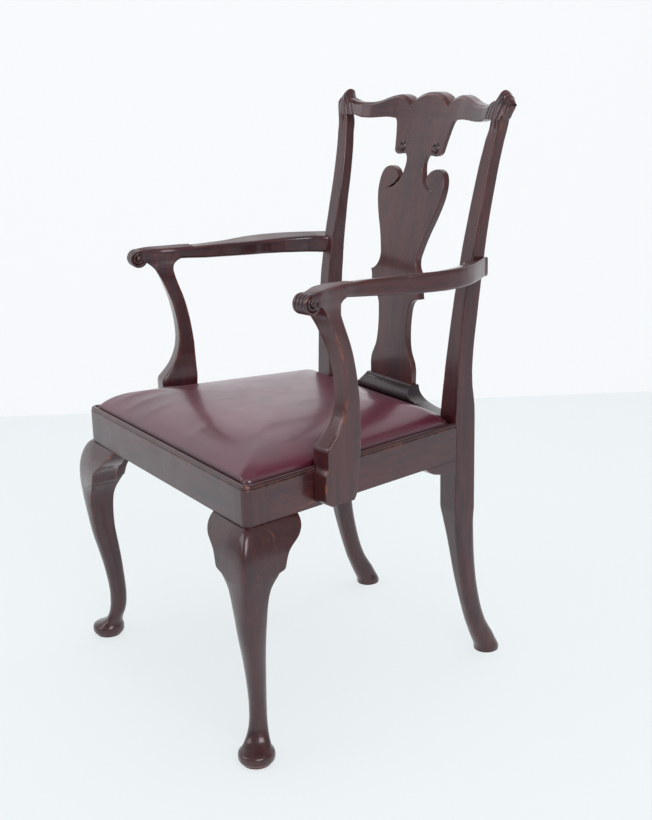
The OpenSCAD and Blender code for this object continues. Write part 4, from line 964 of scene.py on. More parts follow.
SCROLL_DROP = 5.6
SCROLL_PITCH = 0.36
SCROLL_Z = ARM_TOP - SCROLL_DROP - SCROLL_R
EYE_PROUD = 0.5
RIM_BACK = 0.3
BLEND_BACK = 0.9


def arm_shaft(carving):
    """The arm behind its scroll: four-cornered sections with rounded edges, eased along the
    arm. Its forward part stands up a little as four reeds that stop at a step."""
    y = runs(112, (203.6, 61), (204.2, 1), (206.4, 7), (207.4, 1), (484, 119), (485, 1),
             (495.5, 15))
    out, inner, top_out, top_in, low_out, low_in = eased(ARM, y).T[..., None]
    wide = out - inner
    tall = (top_out + top_in - low_out - low_in) / 2
    size = np.hstack([wide, tall])
    ring = rounded_rings(np.zeros_like(size), size, np.minimum(ARM_EDGE, wide / 4),
                         arc=7, sides=(56, 5, 6, 5))
    u, v = ring[..., 0] / wide, ring[..., 1] / tall
    x = rail_x(y)[:, None] + inner + u * wide
    low = low_in + u * (low_out - low_in)
    high = top_in + u * (top_out - top_in)
    reeded = 1 - smoothstep(REEDS_END - 0.6, REEDS_END + 1.2, y)[:, None]
    fore = smoothstep(114, 140, y)[:, None]
    proud = (carving.arm_reed_rise / MM * fore
             + (1.9 - 0.7 * fore) * carving.reed_depth / MM * (scallops(u, REEDS) - 1))
    z = ARM_TOP + low + v * (high - low) + smoothstep(0.75, 0.98, v) * reeded * proud
    return loft(np.stack([x, np.broadcast_to(y[:, None], x.shape), z], -1))


def on_rim(x, y, z):
    """Share of the full wear on a scroll: all of it at the rim, little on the carved faces."""
    radius = np.hypot(y - SCROLL_Y, z - SCROLL_Z) / SCROLL_R
    edge = smoothstep(0.86, 0.93, radius) * (1 - 0.8 * smoothstep(0.965, 0.99, radius))
    return 0.12 + 0.88 * edge


def arm_scroll(carving):
    """The rolled end: one skin out from the outer face's eye, over the four reeds of the
    roll and back in to the inner face's eye. Each face dips along a spiral, where
    (0.8 - r) / pitch less the turn from the top is a whole number, round a raised eye, and
    sinks behind, where it meets the arm."""
    angle = np.linspace(0, 2 * math.pi, 112, endpoint=False)[None]
    share = np.linspace(0.03, 0.94, 56)[:, None]
    wind = (0.8 - share) / SCROLL_PITCH - (angle / (2 * math.pi) - 0.25)
    off = np.abs(wind - np.round(wind))
    winding = smoothstep(0.15, 0.27, share) * (1 - smoothstep(0.8, 0.88, share))
    behind = smoothstep(0.2, 0.9, np.cos(angle)) * smoothstep(0.5, 0.8, share)
    depth = (carving.scroll_depth / MM * np.exp(-(off / 0.2)**2) * winding * (1 - behind)
             - EYE_PROUD * (1 - smoothstep(0.1, 0.3, share))
             + RIM_BACK * smoothstep(0.86, 0.94, share) + BLEND_BACK * behind)
    across = np.linspace(0, 1, 64)[:, None]
    at_ends = across * (1 - across) < 0.004
    ridges = SCROLL_R - carving.reed_depth / MM * (1 - scallops(across, REEDS)) - 0.6 * at_ends
    face_r = SCROLL_R * share * np.ones_like(angle)
    radius = np.concatenate([face_r, ridges * np.ones_like(angle), face_r[::-1]])
    along = np.concatenate([depth, SCROLL_W * (0.02 + 0.96 * across) * np.ones_like(angle),
                            SCROLL_W - depth[::-1]])
    back, up = radius * np.cos(angle), radius * np.sin(angle)
    c, s = math.cos(SCROLL_TURN), math.sin(SCROLL_TURN)
    x = rail_x(SCROLL_Y) + SCROLL_OUT - along * c - back * s
    y = SCROLL_Y - along * s + back * c
    return loft(np.stack([x, y, SCROLL_Z + up], -1))


# Height drawn for a seat at 440, front and back edge, centre from the rail's face,
# thickness's share and twist
SUPPORT = [
    [-59, 142, 189, 14, 1, 0], [-50, 130.5, 194, 14, 1, 0], [-13, 131.5, 199, 14, 1, 0],
    [1, 136.4, 201, 10.5, 1.25, 0], [24, 136.4, 203, 10.5, 1.25, 0],
    [29, 137.4, 203.4, 10.7, 1.24, 0], [36, 143.6, 203.8, 11.4, 1.19, 0],
    [49, 155.5, 204, 12.8, 1.08, 0], [60, 163, 204, 13.5, 1.04, 0], [73, 169, 203.6, 14, 1, 0],
    [90, 173.6, 203, 14, 1, 0], [106, 175, 201.4, 14, 1, 0.5], [125, 174, 199, 13.8, 1, 1],
    [145, 171, 195.5, 13.4, 1.02, 2], [163, 167, 191.4, 12.8, 1.06, 3.5],
    [180, 161.6, 186.6, 11.8, 1.1, 5], [195, 155.6, 181, 10.6, 1.15, 7],
    [210, 149, 175.6, 9, 1.2, 9], [223, 142, 171.4, 7.2, 1.26, 10],
    [230, 138, 170, 6.6, 1.29, 10.8], [237, 132, 170.6, 6.2, 1.31, 11.3],
    [241, 128, 172.2, 6, 1.32, 11.6], [244.5, 124, 175, 6, 1.33, 12],
    [247, 121, 179.4, 6, 1.33, 12], [248.5, 119, 184, 6, 1.33, 12], [258, 121, 181, 6, 1.33, 12]]
SUPPORT_T = 27.6
SUPPORT_LIFT = 4.0
SUPPORT_EDGE = 2.1
# Heights as drawn: the foot, the middle of the gap beside the rail, the end of the straight
# part and the arm's underside, which is this far under the arm's top
SUPPORT_FOOT = -59.0
SUPPORT_GAP = -20.0
SUPPORT_STRAIGHT = 30.0
SUPPORT_TOP = 248.0
UNDER_ARM = 23.0


def arm_support():
    """The curved support: rounded rectangles, turned with the side rail and a little more
    towards the top, cut back where the rail and its lip pass and widened into the arm."""
    drawn = runs(SUPPORT_FOOT, (-13, 15), (-11, 1), (24, 13), (25, 1), (258, 117))
    front, back, proud, share, twist = eased(SUPPORT, drawn).T
    reach = ARM_TOP - UNDER_ARM - SEAT_TOP - SUPPORT_STRAIGHT
    climb = (drawn - SUPPORT_STRAIGHT) / (SUPPORT_TOP - SUPPORT_STRAIGHT)
    height = np.select([drawn < SUPPORT_GAP, drawn <= SUPPORT_STRAIGHT],
                       [RAIL_BOTTOM + SUPPORT_LIFT + drawn - SUPPORT_FOOT, SEAT_TOP + drawn],
                       SEAT_TOP + SUPPORT_STRAIGHT + reach * climb)
    middle = (back + front) / 2
    half = np.stack([SUPPORT_T * share / 2, (back - front) / 2], -1)
    ring = rounded_rings(-half, half, np.full(len(half), SUPPORT_EDGE), arc=6, sides=(4, 6, 4, 6))
    turn = (SPLAY + np.radians(twist))[:, None]
    centre = rail_x(middle) + proud / math.cos(SPLAY)
    x = centre[:, None] + ring[..., 0] * np.cos(turn) - ring[..., 1] * np.sin(turn)
    y = middle[:, None] + ring[..., 0] * np.sin(turn) + ring[..., 1] * np.cos(turn)
    arm_out, arm_in = eased(ARM, y.ravel())[:, :2].T.reshape(2, *y.shape)
    outer = smoothstep(-0.5, 0.5, ring[..., 0] / half[:, :1])
    arm_x = rail_x(y) + arm_in - 0.12 + outer * (arm_out - arm_in + 0.24)
    x += smoothstep(232, 247, drawn)[:, None] * (arm_x - x)
    below = (height < SEAT_TOP + 0.2)[:, None]
    x = np.where(below, np.maximum(x, rail_x(y) + 0.05), x)
    return loft(at_heights(x, y, height))


# ------------------------------------------------------------------ rail lip

# The bead on the rails: inset from the rail's face and height above the rail
LIP_BEAD = [
    [8, -0.2], [8, 6.4], [7.5, 7.4], [6.4, 7.9], [4.6, 8], [3.2, 7.6], [2.1, 6.8], [1.3, 5.6],
    [0.9, 4.4], [0.75, 3.4], [0.9, 2.7], [1.5, 2.3], [1.5, 1.9], [0.8, 1.6], [0.25, 1.1],
    [0.05, 0.4], [0.05, -0.2]]

def bead(line_at):
    """The bead's profile carried along a line in plan, which line_at gives for each inset."""
    rows = []
    for inset, up in LIP_BEAD:
        line = line_at(inset)
        rows.append(np.column_stack([line, np.full(len(line), RAIL_TOP + up)]))
    return loft(np.array(rows).transpose(1, 0, 2))


def front_line(inset):
    """Along the front rail and round to the middle of each corner."""
    arc = corner_arc(inset, 13)[:7]
    straight = np.linspace(arc[0], arc[0] * [-1, 1], 40)[1:-1]
    return np.vstack([arc[::-1], straight, arc * [-1, 1]])


def side_line(inset):
    """From the middle of the right corner back to the post."""
    arc = corner_arc(inset, 13)[6:]
    end = [rail_x(SEAT_DEPTH) - inset / math.cos(SPLAY), SEAT_DEPTH]
    return np.vstack([arc, np.linspace(arc[-1], end, 40)[1:]])


# ------------------------------------------------------------------ leather seat

SEAT_INSET = 9.2
SEAT_BACK = SEAT_DEPTH - 6
FRAME_TOP = edge_of("seat_frame_front", 1, 2)
COVER_EDGE = 5.0
LEATHER_T = 1.6
HIDE_T = 1.3  # as drawn, so that the cover stays outside its pad
TURNED_UNDER = 16.0
FRAME_CORNER = 3.6
PAD_CORNER = 24.0
LIP_GAP = 1.6
COVER_CORNER = 13.0
MEAN_HALF = 240.0
UNSWOLLEN = 0.06  # share of its height that the pad gains as it swells
HELD_OVER = 2, 26  # how far in the border starts to be freed and is free
# In from the edge, and the pad's height there as a share of its crown
DOME = [
    [0, 0], [1, 0.045], [2.5, 0.09], [5, 0.15], [8.5, 0.22], [13, 0.3], [19, 0.39], [27, 0.49],
    [38, 0.605], [55, 0.735], [80, 0.855], [120, 0.95], [170, 1]]


def seat_outline(s, t, grow=0.0, corner=COVER_CORNER):
    """Points of the seat's plan for s, t from -1 to 1: squares about the middle whose corners
    are turned to quarter circles, stretched to the tapered plan; grow widens the outline."""
    ring = np.maximum(np.maximum(np.abs(s), np.abs(t)), 1e-9)
    k_s = np.minimum(corner / MEAN_HALF, ring)
    k_t = np.minimum(corner / ((SEAT_BACK - SEAT_INSET) / 2), ring)
    a = np.clip((np.abs(s) - (ring - k_s)) / k_s, 0, 1)
    b = np.clip((np.abs(t) - (ring - k_t)) / k_t, 0, 1)
    turn = np.where(a >= b, math.pi / 4 * b, math.pi / 2 - math.pi / 4 * a)
    in_corner = (a > 0) & (b > 0)
    s_new = np.where(in_corner, ring - k_s + k_s * np.cos(turn), np.abs(s)) * np.sign(s)
    t_new = np.where(in_corner, ring - k_t + k_t * np.sin(turn), np.abs(t)) * np.sign(t)
    y = SEAT_INSET - grow + (t_new + 1) / 2 * (SEAT_BACK - SEAT_INSET + 2 * grow)
    return s_new * (rail_x(y) - (SEAT_INSET - grow) / math.cos(SPLAY)), y


def edge_distance(x, y):
    """How far a plan point is in from the seat's edge: the distances to the side and to the
    nearer end, joined at the corners by r - |(r - a, r - b)| so that the pad is round there,
    with r growing inwards so that it has no mitre lines."""
    side = np.maximum((rail_x(y) - np.abs(x)) * math.cos(SPLAY) - SEAT_INSET, 0)
    end = np.maximum(np.minimum(y - SEAT_INSET, SEAT_BACK - y), 0)
    near = np.minimum(side, end)
    soft = PAD_CORNER + 0.5 * near
    gap = np.hypot(np.maximum(soft - side, 0), np.maximum(soft - end, 0))
    return np.maximum(np.where(np.maximum(side, end) < soft, soft - gap, near), 0)


def pad_height(x, y, seat):
    """Height of the pad's top: the dome's share of the crown at that distance in."""
    share = eased_column(DOME, edge_distance(x, y))
    return FRAME_TOP + COVER_EDGE + share * (seat.crown / MM - COVER_EDGE)


def square_grid(n, crowding):
    """A grid of n by n faces over -1 to 1 that crowds towards its edge by t (1 + c - c t^2):
    its places, its faces and the points round its border in order."""
    even = np.linspace(-1, 1, n + 1)
    grid = even * (1 + crowding - crowding * even**2)
    t, s = np.meshgrid(grid, grid, indexing="ij")
    index = np.arange((n + 1)**2).reshape(n + 1, n + 1)
    quads = np.stack([index[:-1, :-1], index[:-1, 1:], index[1:, 1:], index[1:, :-1]], -1)
    border = np.concatenate([index[0, :-1], index[:-1, -1], index[-1, :0:-1], index[:0:-1, 0]])
    return s, t, quads.reshape(-1, 4).tolist(), border


def band(upper, lower):
    """Faces between two closed rows of points."""
    return np.stack([upper, lower, np.roll(lower, -1), np.roll(upper, -1)], -1).tolist()


def seat_skin(seat):
    """The cover: a square grid over the domed pad, then its border carried down the frame
    and turned under."""
    s, t, faces, border = square_grid(96, 0.4)
    x, y = seat_outline(s, t, -LIP_GAP)
    z = pad_height(x, y, seat)
    z -= UNSWOLLEN * np.maximum(z - FRAME_TOP - COVER_EDGE, 0)
    top = np.stack([x, y, z], -1).reshape(-1, 3)
    rows = [(-LIP_GAP, FRAME_TOP + 2.6), (-0.3, FRAME_TOP + 0.8), (0, FRAME_TOP - 4),
            (0, FRAME_TOP - 9), (0, LEDGE + 2.2), (-0.7, LEDGE + 0.6), (-2.4, LEDGE), (-8, LEDGE),
            (-TURNED_UNDER, LEDGE)]
    points, last = [top], border
    for grow, height in rows:
        corner = COVER_CORNER if height > FRAME_TOP + 1 else FRAME_CORNER
        x, y = seat_outline(s.ravel()[border], t.ravel()[border], grow, corner)
        this = sum(len(p) for p in points) + np.arange(len(border))
        points.append(np.column_stack([x, y, np.full(len(x), height)]))
        faces += band(last, this)
        last = this
    return np.vstack(points), faces, len(top)


def swollen(mesh, free, seat):
    """Blows the cover up as cloth: its top is free, its sides are pinned, and pressure
    pushes it out for twenty frames. The top's border is held too, less and less inwards.
    No point may move further than the cap."""
    start = points_of(mesh)
    piece = in_scene("swelling_cover", mesh)
    held = piece.vertex_groups.new(name="held")
    held.add(list(range(free, len(start))), 1.0, "ADD")
    x, y = start[:free, :2].T / MM
    firm = 1 - smoothstep(*HELD_OVER, edge_distance(x, y - RAIL_FACE))
    for share in np.linspace(0.05, 0.95, 19):
        members = np.flatnonzero(np.abs(firm - share) <= 0.025).tolist()
        held.add(members, float(share), "REPLACE")
    cloth = piece.modifiers.new("swell", "CLOTH")
    rules = cloth.settings
    rules.vertex_group_mass = "held"
    rules.quality = 6
    rules.mass = 0.3
    rules.tension_stiffness = rules.compression_stiffness = 15
    rules.shear_stiffness = 5
    rules.bending_stiffness = 1.5
    rules.use_pressure = True
    rules.uniform_pressure_force = seat.pressure
    rules.effector_weights.gravity = 0
    cloth.collision_settings.use_collision = False
    cloth.point_cache.frame_start, cloth.point_cache.frame_end = 1, 20
    for step in range(1, 21):
        bpy.context.scene.frame_set(step)
    view = piece.evaluated_get(bpy.context.evaluated_depsgraph_get())
    moved = points_of(bpy.data.meshes.new_from_object(view)) - start
    bpy.context.scene.frame_set(1)
    bpy.data.objects.remove(piece)
    length = np.sqrt((moved**2).sum(1))[:, None]
    moved *= np.minimum(1, seat.swell_cap / np.maximum(length, 1e-9))
    above_lip = start[:, 2] / MM - SEAT_TOP
    moved[:, :2] *= smoothstep(0, 12, above_lip)[:, None]
    return start + moved


# Folds: the middle's place, the way each runs in degrees, half length, half width, height
CREASES = ((-190, 66, 62, 46, 9, 1.0), (-150, 50, 75, 40, 10, 0.8), (-216, 104, 40, 44, 10, 0.9),
           (-96, 44, 84, 36, 11, 0.6), (60, 40, 96, 36, 12, 0.4))


def creases(x, y, seat):
    """Broad, shallow folds along the front edge, most at its left corner: each is a ridge of
    Gaussian section along a line, fading at both ends."""
    lift = np.zeros_like(x)
    for cx, cy, angle, long, wide, high in CREASES:
        a = math.radians(angle)
        along = (x - cx) * math.cos(a) + (y - cy) * math.sin(a)
        across = -(x - cx) * math.sin(a) + (y - cy) * math.cos(a)
        lift += high * np.exp(-(along / long)**2 - (across / wide)**2)
    return seat.crease_depth / MM * lift


def leather_seat_mesh(seat):
    """The cover after its swelling, brought back to the crown's height, with its creases."""
    points, faces, free = seat_skin(seat)
    mesh = new_mesh("leather_seat", (points, faces))
    place = swollen(mesh, free, seat) / MM
    x, y = place[:, 0], place[:, 1] - RAIL_FACE
    pad = pad_height(x, y, seat)
    taut = pad + 0.2 + 1.2 * smoothstep(-6, 8, place[:, 2] - pad)
    on_top = smoothstep(FRAME_TOP + 1, FRAME_TOP + COVER_EDGE + 3, place[:, 2])
    place[:, 2] += on_top * (taut - place[:, 2])
    place[:, 2] += creases(x, y, seat) * smoothstep(4, 14, pad - FRAME_TOP - COVER_EDGE)
    mesh.vertices.foreach_set("co", (place * MM).ravel())
    mesh.update()
    return mesh


def hair_pad(seat):
    """The linen-covered pad under the leather: the cover's plan, drawn in and lower, as a
    closed form with a flat underside on the hessian."""
    s, t, faces, border = square_grid(48, 0.3)
    x, y = seat_outline(s, t, -LEATHER_T - 2)
    base = edge_of("hessian", 1, 2)
    top = np.maximum(pad_height(x, y, seat) - LEATHER_T - 1.6, base + 0.6)
    upper = np.stack([x, y, top], -1).reshape(-1, 3)
    lower = upper[border] * [1, 1, 0] + [0, 0, base]
    ring = len(upper) + np.arange(len(border))
    return np.vstack([upper, lower]), faces + band(border, ring) + [ring.tolist()]


# ------------------------------------------------------------------ settings


class ArmchairTimber(bpy.types.PropertyGroup):
    dark: StringProperty(name="Dark ribbon", description="sRGB colour of the darker ribbons",
                         default="#1F0A11")
    heart: StringProperty(name="Heartwood", description="sRGB colour of the lighter ribbons",
                          default="#421919")
    red: StringProperty(name="Red cast", description="sRGB colour of the reddest wood",
                        default="#50201C")
    pore: StringProperty(name="Pores", description="sRGB colour of the filled pores",
                         default="#12080A")
    worn: StringProperty(name="Worn edge",
                         description="sRGB colour where the stain has rubbed off",
                         default="#A85C32")
    wax: StringProperty(name="Old wax", description="sRGB colour of the wax in the hollows",
                        default="#0C0607")
    rub_width: FloatProperty(name="Rub patch",
                             description="Size of the rubbed patches along an edge",
                             default=0.016, min=0.002, unit="LENGTH")
    ribbon_width: FloatProperty(name="Ribbon width", description="Width of a ribbon of grain",
                                default=0.009, min=0.002, unit="LENGTH")
    pore_width: FloatProperty(name="Pore width",
                              description="Width of a pore, drawn coarse enough to show",
                              default=0.0011, min=0.0003, precision=4, unit="LENGTH")
    smear_width: FloatProperty(name="Polish patch",
                               description="Size of the patches of duller polish",
                               default=0.045, min=0.005, unit="LENGTH")
    wear: FloatProperty(name="Wear", description="How far the edges are rubbed to bare wood",
                        default=0.6, min=0, max=1, subtype="FACTOR")
    polish: FloatProperty(name="Polish roughness", description="Roughness of the shellac",
                          default=0.3, min=0.05, max=1, subtype="FACTOR")


class ArmchairCarving(bpy.types.PropertyGroup):
    reed_depth: FloatProperty(name="Reed depth",
                              description="Depth of the grooves between the reeds",
                              default=0.0016, min=0, max=0.003, precision=4, unit="LENGTH")
    arm_reed_rise: FloatProperty(name="Arm reed rise",
                                 description="How far the arm's reeds stand up",
                                 default=0.0012, min=0, max=0.003, precision=4, unit="LENGTH")
    scroll_depth: FloatProperty(name="Scroll depth",
                                description="Depth of the arm scroll's spiral",
                                default=0.0026, min=0, max=0.005, precision=4, unit="LENGTH")
    volute_depth: FloatProperty(name="Volute depth",
                                description="Relief of the splat's small volutes",
                                default=0.0022, min=0, max=0.004, precision=4, unit="LENGTH")
    chamfer: FloatProperty(name="Crest chamfer",
                           description="Width of the hollow along the crest's top",
                           default=0.005, min=0.001, max=0.01, precision=4, unit="LENGTH")
    splat_edge: FloatProperty(name="Splat edge", description="Radius of the splat's rounded edges",
                              default=0.0016, min=0.0005, max=0.004, precision=4, unit="LENGTH")
    board_edge: FloatProperty(name="Board edge",
                              description="Radius of the rails' and brackets' edges",
                              default=0.0011, min=0.0003, max=0.003, precision=4, unit="LENGTH")


class ArmchairSeat(bpy.types.PropertyGroup):
    dye: StringProperty(name="Dye", description="sRGB colour of the leather", default="#42091A")
    dye_light: StringProperty(name="Faded dye", description="sRGB colour where it has faded",
                              default="#561128")
    gloss: FloatProperty(name="Leather roughness", description="Roughness of the waxed leather",
                         default=0.3, min=0.05, max=1, subtype="FACTOR")
    grain_size: FloatProperty(name="Pebble size", description="Size of the leather's pebble grain",
                              default=0.0011, min=0.0004, precision=4, unit="LENGTH")
    crown: FloatProperty(name="Crown", description="Height of the pad's crown above its frame",
                         default=0.043, min=0.02, max=0.06, precision=4, unit="LENGTH")
    pressure: FloatProperty(name="Pressure", description="Pressure that swells the cover",
                            default=4.0, min=0)
    swell_cap: FloatProperty(name="Swelling limit",
                             description="Furthest that the cover may swell",
                             default=0.006, min=0, precision=4, unit="LENGTH")
    crease_depth: FloatProperty(name="Crease depth", description="Height of the broad creases",
                                default=0.0014, min=0, precision=4, unit="LENGTH")


class ArmchairStage(bpy.types.PropertyGroup):
    floor: StringProperty(name="Floor", description="sRGB colour of the floor", default="#ECF1F3")
    wall: StringProperty(name="Wall", description="sRGB colour of the wall", default="#F7F9FB")
    camera_place: FloatVectorProperty(name="Camera", description="Place of the camera",
                                      subtype="XYZ", unit="LENGTH",
                                      default=(1.7374, -1.0791, 1.0164))
    camera_aim: FloatVectorProperty(name="Aim", description="Point that the camera looks at",
                                    subtype="XYZ", unit="LENGTH",
                                    default=(-0.0123, 0.0535, 0.4331))
    camera_roll: FloatProperty(name="Roll", description="How far the camera is tipped to one side",
                               default=math.radians(-1.4), subtype="ANGLE")
    lens: FloatProperty(name="Lens", description="Focal length of the camera",
                        default=54.59, min=10, unit="CAMERA")
    key: FloatProperty(name="Key light", description="Power of the large light from the right",
                       default=48.0, min=0, unit="POWER")
    side: FloatProperty(name="Left light", description="Power of the light from the left",
                        default=20.0, min=0, unit="POWER")
    fill: FloatProperty(name="Overhead light", description="Power of the light above",
                        default=40.0, min=0, unit="POWER")
    rim: FloatProperty(name="Rear light", description="Power of the light behind",
                       default=30.0, min=0, unit="POWER")
    sky: FloatProperty(name="Room light", description="Strength of the even light of the room",
                       default=0.45, min=0)


# ------------------------------------------------------------------ operators

BOTH = (("right", lambda shape: shape), ("left", left_hand))
ACROSS, LENGTHWAYS, UPRIGHT = 0, 1, 2  # the axis that a board's grain runs along
UNDER_KNEE = 335.0


def carved(name, shape, replaced, grain, redness=0.5, darkness=0.0, sharp=38, unworn=None,
           touched=1):
    """A mahogany piece of the chair frame that stands for CAD nodes."""
    material = wood(grain, redness, darkness)
    return finished(new_mesh(name, shape), name, "frame", material, replaced, sharp,
                    unworn, touched)


def carved_pair(name, shape, node, grain, **finish):
    """A right-hand piece and its mirror image. With no node, the pair is ornament that the
    CAD's own solids don't have."""
    for side, hand in BOTH:
        carved(name + side, hand(shape), [node + side] if node else [], grain, **finish)


def even_shading(piece):
    """Lets wide flat faces keep their own normals beside narrow rounded edges."""
    shading = piece.modifiers.new("even_shading", "WEIGHTED_NORMAL")
    shading.keep_sharp = True


def planed(node, name, grain, redness, carving):
    """A mahogany board of the chair frame: the CAD node's own shape with rounded edges."""
    mesh = softened(node, carving.board_edge / MM)
    even_shading(finished(mesh, name, "frame", wood(grain, redness), [node]))


def linen():
    """The seat's linen, for its pad and its bottoming cloth."""
    return made_once("unbleached_linen", woven_cloth, "#8E8470", "#D8CDB4", 1.0)


class FrontLegs(bpy.types.Operator):
    """The two cabriole legs with their pad feet, discs and stile blocks"""
    bl_idname = "armchair.front_legs"
    bl_label = "Front legs"

    def execute(self, context):
        carved_pair("cabriole_leg_", front_leg(), "front_leg_", UPRIGHT, redness=0.4, darkness=0.2,
                    touched=lambda x, y, z: np.where(z < UNDER_KNEE, 4.0, 1.0))
        return {"FINISHED"}


class RearPosts(bpy.types.Operator):
    """The two rear legs and back posts, with the reeds of the ears running down them"""
    bl_idname = "armchair.rear_posts"
    bl_label = "Rear posts"

    def execute(self, context):
        carved_pair("back_post_", rear_post(context.scene.armchair_carving), "rear_post_", UPRIGHT,
                    unworn=lambda x, y, z: z > CREST_JOINT - 3, touched=0.6)
        return {"FINISHED"}


class CrestRail(bpy.types.Operator):
    """The crest rail with its three humps and reeded ears"""
    bl_idname = "armchair.crest_rail"
    bl_label = "Crest rail"

    def execute(self, context):
        def at_joint(x, y, z):
            """Where the crest meets the splat and the posts."""
            return (z < CREST_JOINT + 3) & ((np.abs(x) < 90) | (np.abs(x) > 182))

        carved("carved_crest", crest_rail(context.scene.armchair_carving), ["crest_rail"], ACROSS,
               unworn=at_joint)
        return {"FINISHED"}


class SplatAndShoe(bpy.types.Operator):
    """The pierced splat, its two small volutes and the shoe under it"""
    bl_idname = "armchair.splat_and_shoe"
    bl_label = "Splat and shoe"

    def execute(self, context):
        carving = context.scene.armchair_carving
        even_shading(finished(splat_mesh(carving), "pierced_splat", "frame", wood(UPRIGHT, 0.8),
                              ["splat"], unworn=lambda x, y, z: z > CREST_JOINT - 9,
                              touched=0.1))
        carved_pair("splat_volute_", volute(carving), None, UPRIGHT, redness=0.4, darkness=0.3,
                    sharp=60, touched=0.1)
        # Painted shade: darkness 0.9 takes the shoe almost to the pores' near-black, standing in
        # for the shade and the dark reflections that it has behind the seat.
        carved("moulded_shoe", shoe(), ["shoe"], ACROSS, redness=0.4, darkness=0.9)
        return {"FINISHED"}


class Arms(bpy.types.Operator):
    """The arms with their reeds, and the scrolls at their ends"""
    bl_idname = "armchair.arms"
    bl_label = "Arms"

    def execute(self, context):
        carving = context.scene.armchair_carving
        shaft, scroll = arm_shaft(carving), arm_scroll(carving)
        for side, hand in BOTH:
            carved("carved_arm_" + side, hand(shaft), ["arm_" + side], LENGTHWAYS, redness=0.4)
            carved("arm_scroll_" + side, hand(scroll), [], LENGTHWAYS, redness=0.4, darkness=0.2,
                   sharp=60, touched=on_rim)
        return {"FINISHED"}


class ArmSupports(bpy.types.Operator):
    """The curved arm supports"""
    bl_idname = "armchair.arm_supports"
    bl_label = "Arm supports"

    def execute(self, context):
        carved_pair("curved_support_", arm_support(), "arm_support_", UPRIGHT, redness=0.45)
        return {"FINISHED"}


class Rails(bpy.types.Operator):
    """The seat rails with rounded edges, and the beaded lip on them"""
    bl_idname = "armchair.rails"
    bl_label = "Rails and lip"

    def execute(self, context):
        carving = context.scene.armchair_carving
        for node, grain in (("front_rail", ACROSS), ("side_rail_right", LENGTHWAYS),
                            ("side_rail_left", LENGTHWAYS), ("rear_rail", ACROSS)):
            planed(node, "planed_" + node, grain, 0.45, carving)
        finish = {"redness": 0.45, "darkness": 0.2, "sharp": 60, "touched": 0.6}
        carved("beaded_lip_front", bead(front_line), ["rail_lip_front"], ACROSS, **finish)
        carved_pair("beaded_lip_", bead(side_line), "rail_lip_", LENGTHWAYS, **finish)
        return {"FINISHED"}


class Brackets(bpy.types.Operator):
    """The ogee brackets beside the knees and the small ones at the rear posts"""
    bl_idname = "armchair.brackets"
    bl_label = "Brackets"

    def execute(self, context):
        front = knee_wing()
        finish = {"redness": 0.4, "darkness": 0.2}
        for side, hand in BOTH:
            carved("knee_wing_front_" + side, hand(front), ["knee_bracket_front_" + side], UPRIGHT,
                   **finish)
            carved("knee_wing_side_" + side, hand(across_the_corner(front)),
                   ["knee_bracket_side_" + side], UPRIGHT, **finish)
        for side, _ in BOTH:
            node = "rear_bracket_" + side
            planed(node, "carved_" + node, LENGTHWAYS, 0.5, context.scene.armchair_carving)
        return {"FINISHED"}


class LeatherSeat(bpy.types.Operator):
    """The drop-in seat's domed leather cover"""
    bl_idname = "armchair.leather_seat"
    bl_label = "Leather seat"

    def execute(self, context):
        seat = context.scene.armchair_seat
        hide = made_once("oxblood_leather", oxblood_leather, seat)
        piece = finished(leather_seat_mesh(seat), "leather_seat", "drop_in_seat", hide,
                         ["leather_cover"])
        wall = piece.modifiers.new("hide_thickness", "SOLIDIFY")
        wall.thickness = HIDE_T * MM
        wall.offset = -1
        round_off = piece.modifiers.new("round_off", "SUBSURF")
        round_off.levels = round_off.render_levels = 1
        pad = finished(new_mesh("hair_pad", hair_pad(seat)), "hair_pad", "drop_in_seat", linen(),
                       ["stuffing"])
        return {"FINISHED"}


class HiddenParts(bpy.types.Operator):
    """Finishes of the parts under and inside the seat: blocks, frame, webbing, cloth, screws"""
    bl_idname = "armchair.hidden_parts"
    bl_label = "Hidden parts"

    def execute(self, context):
        beech = made_once("sawn_beech", sawn_beech)
        steel = made_once("drawn_steel", plain_steel)
        jute = made_once("jute_webbing", woven_cloth, "#6B5433", "#B89A68", 1.6)
        finish = {"inner_wood": beech, "steel": steel, "jute_webbing": jute, "linen": linen(),
                  "mahogany": wood(ACROSS), "seat_leather": linen()}
        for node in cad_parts.values():
            for spot in node.material_slots:
                kind = spot.material.name.split(".")[0]
                if kind not in finish:
                    raise RuntimeError("no finish for " + spot.material.name)
                spot.material = finish[kind]
        return {"FINISHED"}


def plain_surface(name, colour, evenness, one_sided=False):
    """Matt paint for the floor or wall. The camera and the polish see mostly its plain
    colour, so that it looks evenly lit, and the rest of it takes the chair's soft shadow. A
    one-sided wall is clear from behind, so that the chair can be looked at from there."""
    material, tree, shader = blank_material(name)
    feed(tree, shader, {"Base Color": linear(colour), "Roughness": 0.8, "Specular IOR Level": 0.1})
    glow = add(tree, "ShaderNodeEmission", inputs={"Color": linear(colour)})
    path = add(tree, "ShaderNodeLightPath")
    seen = maths(tree, "MAXIMUM", path.outputs["Is Camera Ray"], path.outputs["Is Glossy Ray"])
    surface = mix_shaders(tree, maths(tree, "MULTIPLY", seen, evenness), shader, glow)
    if one_sided:
        behind = add(tree, "ShaderNodeNewGeometry").outputs["Backfacing"]
        surface = mix_shaders(tree, behind, surface, add(tree, "ShaderNodeBsdfTransparent"))
    feed(tree, tree.nodes["Material Output"], {"Surface": surface.outputs[0]})
    return material


def pane(name, corners, material):
    """A flat four-cornered part of the stage."""
    mesh = bpy.data.meshes.new(name)
    mesh.from_pydata(corners, [], [[0, 1, 2, 3]])
    mesh.materials.append(material)
    piece = in_scene(name, mesh)


def turned_to(place, aim):
    """The turn that points a lamp or camera at an aim."""
    return (Vector(aim) - Vector(place)).to_track_quat("-Z", "Y")


